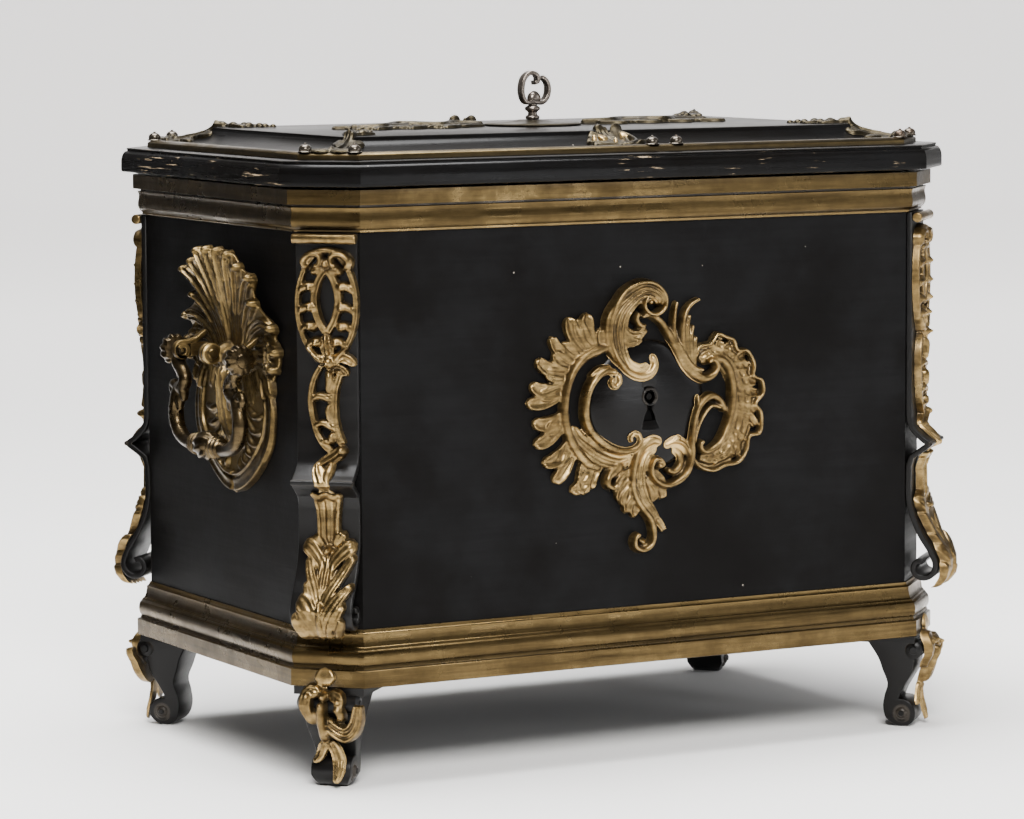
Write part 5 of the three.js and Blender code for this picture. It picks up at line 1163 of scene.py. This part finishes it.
# ---- Feet
# Each corner stands on a black iron foot, bent to an S with a roll under the case and a volute on
# the floor. A gilt leaf covers its front: a tongue over the plinth, a cup and two ribbons.
FOOT_HEIGHT = 85.7  # as drawn, before it is stretched to the floor
foot_front = [(8, -20), (6, -34), (0, -45), (-5, -54), (-7, -60)]
foot_volute = arc((-5, -73), (13, 13), 72, -68, 10)
foot_heel = [(-10, -85.4), (-18, -80), (-21.5, -68), (-20, -57), (-17, -46), (-21, -34), (-25, -22),
             (-34, -7), (-34, -5)]
foot_side = [Vector((8, -4))] + smooth_path(foot_front, 14) + [Vector(p) for p in foot_volute]
foot_side += [Vector((0, -FOOT_HEIGHT)), Vector((-8, -FOOT_HEIGHT))] + smooth_path(foot_heel, 26)
stretch = (case_bottom / MM - 0.3) / FOOT_HEIGHT
leg = cut_across("leg", [p * MM for p in foot_side], 54 * MM, 1.4 * MM, 35 * MM)
for vert in leg.data.vertices:
    vert.co.x *= 1 - 0.3 * min(1.0, max(0.0, (-76 * MM - vert.co.z) / (10 * MM)))
cap = slab("cap", [(-31, -7), (31, -7), (31, -0.3), (-31, -0.3)], 55)
cap.data.transform(Matrix.Translation((0, 45 * MM, 0)))
foot = welded("foot", leg, cap, roller(0, 8, -14, 8, 53), roller(0, -4.5, -73, 5.4, 38),
              roller(0, -4.5, -73, 8.6, 34.6))
foot.data.transform(Matrix.Diagonal((1, 1, stretch, 1)))
on_corners(foot, "foot_scroll", strap_iron, "black_iron")

FOOT_BULGE = [(19, 12.4), (0, 12.4), (-4, 14), (-9, 16.4), (-14, 17.2), (-19, 16.4), (-26, 12.5),
              (-36, 9.5), (-46, 7), (-54, 6.3), (-62, 6.6), (-68, 8.4), (-74, 9.8), (-81, 12)]
foot_strands = [
    # the tongue over the plinth
    ([(-2, 17), (-2, 9), (-1.5, 0)], (8.2, 9.6, 8), (3.4, 4.6, 5.4), cupped),
    # an ear on each side of it
    ([(-6, -8), (-10, -2.5), (-15, -3.5), (-17, -12), (-15.6, -21), (-12.5, -27.5), (-8, -29)],
     (5.4, 6, 6.2, 6, 5.4, 4.6, 3.2), (10, 11, 11, 10.5, 10, 10, 9), cupped),
    ([(-10, -18), (-8, -24), (-7, -31)], (4, 4.4, 3), (7, 8, 7), rounded),
    ([(2, -8), (7, -5.5), (12, -7.5), (12.5, -13), (9, -17)], (4.8, 5.4, 5.4, 4.8, 3.4),
     (10, 11, 11, 10, 9), cupped),
    ([(7, -15), (12, -18), (13.6, -24), (9, -27)], (4.2, 5, 4.6, 3), (9, 10, 10, 8), rounded),
    # the stem between them
    ([(-2, -10), (-4, -28), (-3, -47)], (4.2, 4.8, 4.4), (12, 13, 10), rounded),
    # the cup: three rims over a hollow leaf, swept up to the foot's edge
    ([(-1, -28), (8, -35), (17, -38), (25, -31), (29, -17)], (6, 7.5, 7, 6, 3), (6, 6, 6, 5.5, 5), rounded),
    ([(-1, -35), (6, -41), (16, -44.5), (26, -37), (31, -25), (32.4, -12)], (2.4, 2.6, 2.6, 2.4, 2.2, 1.6),
     (8, 9, 9, 9, 8, 7), rounded),
    ([(0, -30), (8, -37), (17, -39.6), (24, -33), (28, -23), (29.4, -12)], (2, 2.2, 2.2, 2.2, 2, 1.4),
     (8, 9, 9, 9, 8, 7), rounded),
    ([(2, -25), (9, -31.5), (16, -34), (21.6, -28.5), (25, -20), (26.6, -12)], (2, 2.2, 2.2, 2.2, 2, 1.4),
     (8, 9, 9, 9, 8, 7), rounded),
    # two ribbons on the shin
    ([(-4, -45), (-7, -54), (-10, -60.5), (-15, -65)], (4.4, 5, 4.4, 2), (7, 5, 5, 5), fluted(2)),
    ([(0, -45), (5, -54), (8, -63), (8, -73), (6, -82)], (4.4, 5.8, 6.2, 5.4, 2.6), (7, 5, 5, 5, 4),
     fluted(2)),
]
foot_leaf = cast("foot_leaf", [strand(*each) for each in foot_strands] + [
    bead(-1.4, -6, 5, 12),
    bead(-1.4, -6, 2.6, 14),
    bead(13, -10, 3.4, 13),
    bead(-15, -6, 3.6, 13),
], 0.8)
bent_out(foot_leaf, FOOT_BULGE)
for vert in foot_leaf.data.vertices:
    if vert.co.z < 0:
        vert.co.z *= stretch
on_corners(foot_leaf, "foot_leaf", gilt_mount, "gilt_mount")

# ---- Hinges
# Two iron butt hinges at the back, riveted to the case and to the lid. Their leaves, knuckles and
# pins are filed and oiled.
for node in nodes:
    if node.startswith("hinge_"):
        paint(node, lock_iron)

# ---- Lid
# The lid overhangs the cornice. It has a rounded black edge, a brass band held by domed rivets, a
# hollow cove and a flat top. Olive bronze leaves climb its corners and lie along the top.
lid_low, lid_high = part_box("lid_frame")
lid_out = (lid_high.x - plan.x) / MM
lid_iron = blackened_iron("lid_iron", (0.0026, 0.0025, 0.0026), (0.0014, 0.0009, 0.0005),
                          (0.06, 0.042, 0.02), 0.28, 200.0, 0.66, 0.08)
edge_iron = blackened_iron("lid_edge_iron", (0.0026, 0.0025, 0.0026), (0.0014, 0.0009, 0.0005),
                           (0.06, 0.042, 0.02), 0.25, 200.0, 0.66, 0.1, 0.39)
edge_height = (lid_high.z - lid_low.z) / MM
lid_section = [
    (4.3, 0), (lid_out - 1.6, 0), (lid_out - 0.4, 0.6), (lid_out, 1.8), (lid_out, 4.4),
    *arc((lid_out - 5, 8.6), (5, edge_height - 11.4), -6, 88, 12),
    (lid_out - 5.2, edge_height - 2.6), (lid_out - 5.2, edge_height - 1.9),
    (lid_out - 4.6, edge_height - 1.4), (lid_out - 4.7, edge_height - 0.5), (lid_out - 5.6, edge_height),
    (-30, edge_height), (-30, edge_height - 3), (4.3, edge_height - 3),
]
lid_edge = run_round("lid_frame_finish", lid_section, lid_low.z)
finished(lid_edge, edge_iron, "lid", "black_iron", "lid_frame")

panel_low, panel_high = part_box("lid_panel")
panel_foot = (panel_high.x - plan.x) / MM - 2
cove_rise = (panel_high.z - panel_low.z) / MM - 3
COVE_RUN = 37
cove = [(panel_foot + 2, 0.0), (panel_foot + 2, 2.4), (panel_foot + 1.4, 3)]
cove += [(panel_foot - COVE_RUN * math.sin(a), 3 + cove_rise * (1 - math.cos(a))) for a in
         [math.pi / 2 * i / 14 for i in range(14)]]
cove += [(panel_foot - COVE_RUN + 0.4, 2.6 + cove_rise), (panel_foot - COVE_RUN - 0.6, 3 + cove_rise)]
panel = ringed("lid_panel_finish", cove, panel_low.z)
bpy.ops.mesh.edge_face_add()
bpy.ops.object.mode_set(mode="OBJECT")
finish_mesh(panel)
thicken = panel.modifiers.new("thicken", "SOLIDIFY")
thicken.thickness = 2.4 * MM
thicken.offset = -1
bpy.ops.object.modifier_apply(modifier="thicken")
KEYWAY_EYE = 5.5
KEYWAY_HALF = 2.8
KEYWAY_REACH = 12.3  # to the front, for the key's bit


def keyway_cut(piece):
    """Cuts the key's opening through a piece on top of the lid: an eye with a slot to the front."""
    side = math.degrees(math.asin(KEYWAY_HALF / KEYWAY_EYE))
    outline = arc((0, 0), (KEYWAY_EYE, KEYWAY_EYE), 90 + side, 450 - side, 28)
    tool = slab("keyway", outline + [(KEYWAY_HALF, KEYWAY_REACH), (-KEYWAY_HALF, KEYWAY_REACH)], 14)
    top = Matrix.Translation((0, 0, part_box("key_plate")[1].z + 3 * MM))
    tool.data.transform(top @ quarter_turn("X"))
    cut_out(piece, tool)
    piece.select_set(True)
    finish_mesh(piece)


keyway_cut(panel)
finished(panel, lid_iron, "lid", "black_iron", "lid_panel")

band_low, band_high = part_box("lid_band")
band_out = (band_high.x - plan.x) / MM
BAND_WIDTH = 12
BAND_TOP = 6.5 * MM  # over its underside, with the gap for a mount
band_section = [(band_out - BAND_WIDTH, 0), (band_out, 0), (band_out, 3.4), (band_out - 0.5, 4.3),
                (band_out - 3, 5.9), (band_out - 4, 6.2), (band_out - 8.6, 6.2), (band_out - 10.8, 5),
                (band_out - BAND_WIDTH, 3)]
band = run_round("lid_band_strip", band_section, band_low.z)
band_bronze = gilding("band_bronze", (0.1, 0.072, 0.03), (0.05, 0.036, 0.017),
                      (0.006, 0.004, 0.0025), 0.006, 0.3, 0.7, 260.0, 30.0, 0.2)
lid_bronze = gilding("lid_bronze", (0.052, 0.042, 0.024), (0.024, 0.019, 0.011),
                     (0.004, 0.003, 0.002), 0.006, 0.34, 0.6, 200.0)
finished(band, band_bronze, "lid", "dark_bronze", "lid_band")

rivet_profile = [(0, 0), (6.2, 0), (6.4, 0.6), (5.9, 1.1), (5.3, 1.3), (5.5, 2.4), (5.3, 3.8), (4.5, 5.2),
                 (3.2, 6.2), (1.7, 6.7), (1.2, 6.9), (1.2, 7.4), (0.9, 7.8), (0, 8)]
SHORT_SIDE = 100  # a cut corner is shorter than this, a side is longer
rivets = []
middle_line = octagon((band_out - 5) * MM)
for i, (x0, y0) in enumerate(middle_line):
    x1, y1 = middle_line[(i + 1) % 8]
    length = math.hypot(x1 - x0, y1 - y0) / MM
    places = []
    if length < SHORT_SIDE:
        places = [3, length - 3]
    elif y0 == y1 < 0:  # two on the front, beside its leaf
        places = [length / 2 + 14, length / 2 + 38]
    for reach in places:
        rivet = turned("rivet", rivet_profile, 20)
        spot = (x0 + (x1 - x0) * reach / length, y0 + (y1 - y0) * reach / length, band_low.z + 5.9 * MM)
        rivet.data.transform(Matrix.Translation(spot))
        rivets.append(rivet)
rivet_iron = filed_iron("rivet_iron", (0.1, 0.085, 0.066), 0.22)
rivets = welded("lid_rivets", *rivets)
finished(rivets, rivet_iron, "lid", "dark_bronze")


def lid_height(x, y):
    """The height of the lid's surface over a point of its plan, with the gap for a mount."""
    out = max(abs(x) - plan.x, abs(y) - plan.y,
              (abs(x) + abs(y) - plan.x - plan.y + CORNER_CUT) / math.sqrt(2)) / MM
    if out > panel_foot + 3:
        return band_low.z + BAND_TOP
    climb = min(1.0, max(0.0, (panel_foot - out) / COVE_RUN))
    low = panel_low.z + (3.3 + cove_rise * (1 - math.sqrt(1 - climb * climb))) * MM
    share = min(1.0, max(0.0, (out - panel_foot) / 3))
    return low + (band_low.z + BAND_TOP - low) * share


def laid_on_lid(piece, matrix):
    """Lays a casting on the lid: its drawing becomes a plan and its relief points upwards."""
    for vert in piece.data.vertices:
        spot = matrix @ Vector((vert.co.x, vert.co.z, 0))
        vert.co = (spot.x, spot.y, lid_height(spot.x, spot.y) - vert.co.y - SEAT)


hip_parts = [
    strand([(0, -7), (-1.5, 4), (1.5, 18), (0.5, 32), (0, 44), (0, 52)], (9, 6, 4.4, 4, 4.6, 5),
           (3, 6, 7.5, 7.5, 7, 5.5), fluted(2)),
    bead(0, 50, 5, 5.6), bead(-5, 58, 5, 5), bead(5, 62, 5, 5.4), bead(-4, 69, 4.6, 4.8), bead(3, 76, 5, 5),
    bead(-3, 84, 4.2, 4.4), bead(2, 91, 4, 4), bead(0, 98, 3.2, 3.4),
    strand([(0, 50), (-8, 62), (-13, 68)], (3, 4.6, 2.6), (4, 4.5, 3), cupped),
    strand([(0, 54), (8, 68), (12, 76)], (3, 4.6, 2.6), (4, 4.5, 3), cupped),
    strand([(0, 66), (-8, 78), (-11, 84)], (3, 4, 2.4), (4, 4, 3), cupped),
]
for s in (1, -1):
    # a low leaf along the band, a curl over it and two lobes against the rib
    hip_parts += [
        strand([(0, -4), (s * 9, -7), (s * 17, -5), (s * 24, -7)], (5, 5.4, 4.4, 2.6), (2.8, 3.2, 3, 2.2),
               fluted(2)),
        strand([(s * 1, 2), (s * 8, 7), (s * 15, 5), (s * 21, 8)], (4, 5, 4.4, 2.6), (3.4, 4.2, 3.6, 2.4),
               cupped),
        strand([(s * 1, 10), (s * 8, 18), (s * 14, 21), (s * 17, 27)], (3.6, 5, 4.6, 2.6), (4, 5.2, 4.6, 3),
               cupped),
        strand([(s * 1, 24), (s * 6, 33), (s * 10, 38), (s * 12, 45)], (3.4, 4.6, 4.2, 2.4),
               (4.4, 5.6, 5, 3.2), cupped),
    ]
hip = cast("hip_leaf", hip_parts, 0.9)
for name, matrix in corner_places(CORNER_CUT / 2 - (band_out - BAND_WIDTH) * MM / math.sqrt(2)):
    copy = copied(hip, f"lid_leaf_{name}_finish")
    laid_on_lid(copy, matrix)
    finished(copy, lid_bronze, "lid", "dark_bronze", f"lid_leaf_{name}")
bpy.data.objects.remove(hip)

shell_parts = [
    strand([(-4, -2), (-4, 12), (-6, 28), (-8, 44)], (8, 9, 8, 5), (3, 5, 6, 4), fluted(3)),
    *frond((-3, 4), [(-30, 16, -0.1), (-31, 28, -0.1), (-24, 38, -0.1)], (4, 6.5, 7, 4.5), (5, 6.5, 7, 6)),
    *frond((2, 2), [(26, 8, 0.1), (27, 20, 0.1), (20, 34, 0.1)], (4, 6.5, 7, 4.5), (5, 6.5, 7, 6)),
    bead(6, 38, 7, 7), bead(-10, 44, 5, 5.5),
    strand([(-2, 4), (10, 12), (12, 28), (6, 36)], (3, 3.4, 3, 2.6), (5, 7, 8, 8)),
]
mid = cast("mid_leaf", shell_parts, 0.9)
shell_start = plan.y + (band_out - 13) * MM
for name, turn in (("front", 0), ("back", 180)):
    copy = copied(mid, f"lid_shell_{name}_finish")
    laid_on_lid(copy,
                Matrix.Rotation(math.radians(turn), 4, "Z") @ Matrix.Translation((0, -shell_start, 0)))
    finished(copy, lid_bronze, "lid", "dark_bronze", f"lid_shell_{name}")
bpy.data.objects.remove(mid)

# what is left of the gilding on the front one
gilt_curls = cast("lid_shell_gilding", [
    strand([(-14, 20), (-16, 27), (-12, 33)], (3.4, 4.4, 3), (8.6, 9.4, 8), cupped),
    strand([(4, 32), (10, 31), (13, 27)], (2.4, 3, 2.2), (8.6, 9.4, 8), cupped),
    bead(-24, 26, 2.8, 8.6),
    bead(-9, 15, 2.4, 8.4),
], 0.7)
laid_on_lid(gilt_curls, Matrix.Translation((0, -shell_start, 0)))
finished(gilt_curls, gilt_mount, "lid", "dark_bronze")

spray_parts = [
    strand([(50, 0), (62, 3), (88, 8), (118, -6), (150, 4), (186, -4)], (6, 8, 10, 10, 8, 3),
           (4, 4.6, 5, 5, 4.8, 3), fluted(2)),
    strand([(50, 2), (74, -10), (100, 12), (128, -12), (156, 10), (184, 2)], (3, 4, 4.4, 4.4, 4, 2),
           (5, 6.6, 6, 6.6, 6, 4)),
]
for i in range(7):
    x = 62 + 17 * i
    lift = 1 if i % 2 else -1
    spray_parts += frond((x, 0), [(x + 24, lift * 24, 0.12 * lift), (x + 30, lift * 14, 0.1 * lift)],
                         (3.4, 6, 6, 3.4), (4, 5, 5, 4))
    spray_parts += frond((x + 4, 0), [(x + 20, -lift * 15, -0.1 * lift)], (3, 4.6, 4.6, 2.6),
                         (4, 4.6, 4.6, 3.4))
    spray_parts.append(bead(x + 12, lift * 4, 4.4, 5))
spray = cast("spray", spray_parts, 0.9)
for name, turn in (("right", 0), ("left", 180)):
    copy = copied(spray, f"lid_spray_{name}_finish")
    laid_on_lid(copy, Matrix.Rotation(math.radians(turn), 4, "Z"))
    finished(copy, lid_bronze, "lid", "dark_bronze", f"lid_spray_{name}")
bpy.data.objects.remove(spray)

# ---- Lock in the lid
# A tray under the lid carries four T-shaped bolts round one pinion. The iron is bare, filed and
# greased, and brown where the grease has dried.
lock_tray = filed_iron("lock_tray", (0.12, 0.11, 0.1), 0.5)
paint("lock_plate", lock_tray)
for node in ("lock_bridge", "lock_pinion", "bolt_front", "bolt_right", "bolt_back", "bolt_left"):
    paint(node, lock_iron)

# ---- Key plate and key
# The key stands in a low bronze dish on the lid, through a keyway that is cut in both. It has a
# turned neck and a forged steel bow bent like a kidney, its end rolled inwards.
plate_low, plate_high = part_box("key_plate")
dish_radius = (plate_high.x - plate_low.x) / 2 / MM
dish_rise = (plate_high.z - plate_low.z) / MM
dish = turned("key_plate_finish", [
    (0, 0), (dish_radius - 1, 0), (dish_radius, 0.6), (dish_radius, 1.6), (dish_radius - 2, 2.6),
    (dish_radius * 0.8, 2.3), (dish_radius * 0.6, 2.7), (dish_radius * 0.42, 3.4),
    (dish_radius * 0.36, dish_rise - 0.9), (dish_radius * 0.3, dish_rise), (dish_radius * 0.2, dish_rise),
    (0, dish_rise),
], 72)
dish.data.transform(Matrix.Translation((0, 0, plate_low.z)))
keyway_cut(dish)
finished(dish, lid_bronze, "lid", "dark_bronze", "key_plate")

key_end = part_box("key")[0].z / MM
collar = plate_high.z / MM + 0.3
stem = turned("stem", [(0, key_end), (4.4, key_end), (4.75, key_end + 0.5), (4.75, collar), (5.8, collar),
                       (6.4, collar + 1), (6.4, collar + 2.2), (5.6, collar + 3.2), (4.2, collar + 4),
                       (4, collar + 6), (5, collar + 7.2), (6.7, collar + 8.4), (7, collar + 9.6),
                       (6.5, collar + 10.8), (5, collar + 11.8), (3.8, collar + 12.6), (3.6, collar + 14),
                       (0, collar + 14)], 40)
bit = slab("bit", [(-2, key_end + 1), (2, key_end + 1), (2, key_end + 11), (-2, key_end + 11)], 11.5)
bow_foot = collar + 13
bow_path = [(1, 3), (-7, 2), (-11, 8), (-11.5, 16), (-9, 24), (-3, 28.5), (3.5, 26.5), (4.5, 21),
            (0.5, 19.5)]
bow_right = [(-1, 3), (8, 1.5), (13.5, 6), (15.5, 13), (14, 20), (9.5, 24.5)]
bow = []
for path in (bow_path, bow_right):
    outline = [(p + Vector((0, bow_foot))) * MM for p in ribbon(smooth_path(path, 30), 3.6)]
    strip = cut_across("strip", outline, 8.5 * MM, 0.9 * MM)
    strip.data.transform(quarter_turn("Z"))
    bow.append(strip)
heart = turned("heart", [(0, -4.2), (2.6, -4.2), (5.6, -2.6), (6.8, 0), (5.6, 2.6), (2.6, 4.2), (0, 4.2)],
               32)
heart.data.transform(Matrix.Translation((1.5 * MM, 0, (bow_foot + 5.5) * MM)) @ quarter_turn("X"))
key_steel = filed_iron("key_steel", (0.2, 0.17, 0.145), 0.24)
key = welded("key_finish", stem, bit, *bow, heart)
finished(key, key_steel, "lid_key", "bare_iron", "key")

# ---- The studio
# A pale floor that sweeps up into a backdrop, soft lights high on the left, above, on the right and
# low in front, a black flag, and the photograph's camera: a long lens nearly four metres away.
bpy.ops.mesh.primitive_plane_add(size=1)
floor = bpy.context.object
floor.name = "studio_floor"
bpy.ops.object.mode_set(mode="EDIT")
bpy.ops.transform.resize(value=(30, 18, 1))
bpy.ops.mesh.select_all(action="DESELECT")
sheet = bmesh.from_edit_mesh(floor.data)
for edge in sheet.edges:
    edge.select = all(v.co.y > 0 for v in edge.verts)
bmesh.update_edit_mesh(floor.data)
bpy.ops.mesh.extrude_edges_move(TRANSFORM_OT_translate={"value": (0, 0, 12)})
bpy.ops.mesh.select_all(action="DESELECT")
sheet = bmesh.from_edit_mesh(floor.data)
for edge in sheet.edges:
    edge.select = all(v.co.y > 8 and v.co.z < 1 for v in edge.verts)
bmesh.update_edit_mesh(floor.data)
bpy.ops.mesh.bevel(offset=5, segments=24)
bpy.ops.object.mode_set(mode="OBJECT")
bpy.ops.object.shade_smooth()
STUDIO_TURN = math.radians(28)
floor.data.transform(Matrix.Rotation(-STUDIO_TURN, 4, "Z"))

paper, tree, shade = new_material("studio_paper")
tone = use(tree, patches, Scale=1.2, From=0.3, To=0.7)
tree.links.new(between(tree, tone, (0.79, 0.782, 0.77), (0.81, 0.802, 0.79)),
                          shade.inputs["Base Color"])
# painted light: the paper glows more and more from about a metre behind the box, fading out to the sides,
# so the backdrop is bright and lights the box; the floor near the box does not glow
where = place(tree, "ShaderNodeTexCoord")
turned_to = place(tree, "ShaderNodeVectorRotate", {"Angle": STUDIO_TURN}, rotation_type="Z_AXIS")
axes = place(tree, "ShaderNodeSeparateXYZ")
aside = place(tree, "ShaderNodeMath", operation="ABSOLUTE")
far = place(tree, "ShaderNodeMapRange", {"From Min": 0.9, "From Max": 5.0}, interpolation_type="SMOOTHSTEP")
near = place(tree, "ShaderNodeMapRange", {"From Min": 4.2, "From Max": 1.6},
             interpolation_type="SMOOTHSTEP")
glow_mask = place(tree, "ShaderNodeMath", operation="MULTIPLY")
wire(tree, (where, "Object", turned_to, "Vector"), (turned_to, "Vector", axes, "Vector"),
     (axes, "X", aside, 0), (axes, "Y", far, "Value"), (aside, "Value", near, "Value"),
     (far, "Result", glow_mask, 0), (near, "Result", glow_mask, 1))
tree.links.new(between(tree, glow_mask.outputs["Value"], (0, 0, 0), (1.0, 0.965, 0.945)),
                          shade.inputs["Emission Color"])
shade.inputs["Emission Strength"].default_value = 1.35
shade.inputs["Roughness"].default_value = 0.9
shade.inputs["Specular IOR Level"].default_value = 0.1
floor.data.materials.append(paper)


def soft_light(name, at, towards, size, power, colour):
    """A square area light that faces a point."""
    lamp = bpy.data.lights.new(name, "AREA")
    lamp.shape = "RECTANGLE"
    lamp.size, lamp.size_y = size
    lamp.energy = power
    lamp.color = colour
    held = bpy.data.objects.new(name, lamp)
    held.visible_camera = False
    bpy.context.collection.objects.link(held)
    aim = Vector(towards) - Vector(at)
    held.matrix_world = Matrix.Translation(at) @ aim.to_track_quat("-Z", "Y").to_matrix().to_4x4()


soft_light("key_light", (-1.5, -3.3, 2.7), (0, 0, 0.3), (1.5, 1.5), 260, (1.0, 0.985, 0.96))
soft_light("top_light", (-0.3, 0.2, 3.2), (0, 0, 0.2), (2.2, 2.2), 380, (1.0, 1.0, 1.0))
soft_light("fill_light", (3.2, -2.6, 1.4), (0, 0, 0.3), (1.6, 2.0), 40, (0.97, 0.98, 1.0))
soft_light("low_light", (1.29, -2.92, 0.3), (0.02, -0.2, 0.31), (0.36, 0.3), 7, (0.95, 0.97, 1.0))
# a black flag out of the picture on the left, which only the reflections see
bpy.ops.mesh.primitive_plane_add(size=1)
flag = bpy.context.object
flag.name = "studio_flag"
flag.data.transform(Matrix.Translation((-0.55, 1.3, 0.62)) @ quarter_turn("Y")
                    @ Matrix.Diagonal((1.2, 2.6, 1, 1)))
flag.visible_camera = flag.visible_shadow = flag.visible_diffuse = False
cloth, _, weave = new_material("studio_cloth")
weave.inputs["Base Color"].default_value = (0.004, 0.004, 0.004, 1)
flag.data.materials.append(cloth)
sky = bpy.data.worlds.new("studio")
bpy.context.scene.world = sky
sky.use_nodes = True
tree = sky.node_tree
seen = place(tree, "ShaderNodeTexCoord")
across = place(tree, "ShaderNodeVectorMath", {1: (-0.8, 0.6, 0)}, operation="DOT_PRODUCT")
darker = place(tree, "ShaderNodeMapRange", {"From Min": -0.3, "From Max": 0.7},
               interpolation_type="SMOOTHSTEP")
wire(tree, (seen, "Generated", across, 0), (across, "Value", darker, "Value"))
tree.links.new(between(tree, darker.outputs["Result"], (0.95, 0.95, 0.95), (0.16, 0.155, 0.15)),
                        tree.nodes["Background"].inputs["Color"])
tree.nodes["Background"].inputs["Strength"].default_value = 0.4

YAW = 0.4958
PITCH = 0.1032
ROLL = -0.0058
DISTANCE = 3.8218
ASIDE = -0.0199
ABOVE = 0.2002
FOCAL = 147.9  # mm
SENSOR = 36  # mm wide
forward = Vector((math.sin(YAW) * math.cos(PITCH), math.cos(YAW) * math.cos(PITCH), -math.sin(PITCH)))
right = Vector((math.cos(YAW), -math.sin(YAW), 0))
up = right.cross(forward)
eye = Vector((0, 0, case_bottom)) - forward * DISTANCE + right * ASIDE + up * ABOVE
level = right * math.cos(ROLL) + up * math.sin(ROLL)
crown = up * math.cos(ROLL) - right * math.sin(ROLL)
lens = bpy.data.cameras.new("camera")
lens.lens = FOCAL
lens.sensor_width = SENSOR
camera = bpy.data.objects.new("camera", lens)
bpy.context.collection.objects.link(camera)
camera.matrix_world = Matrix.Translation(eye) @ Matrix((level, crown, -forward)).transposed().to_4x4()
bpy.context.scene.camera = camera
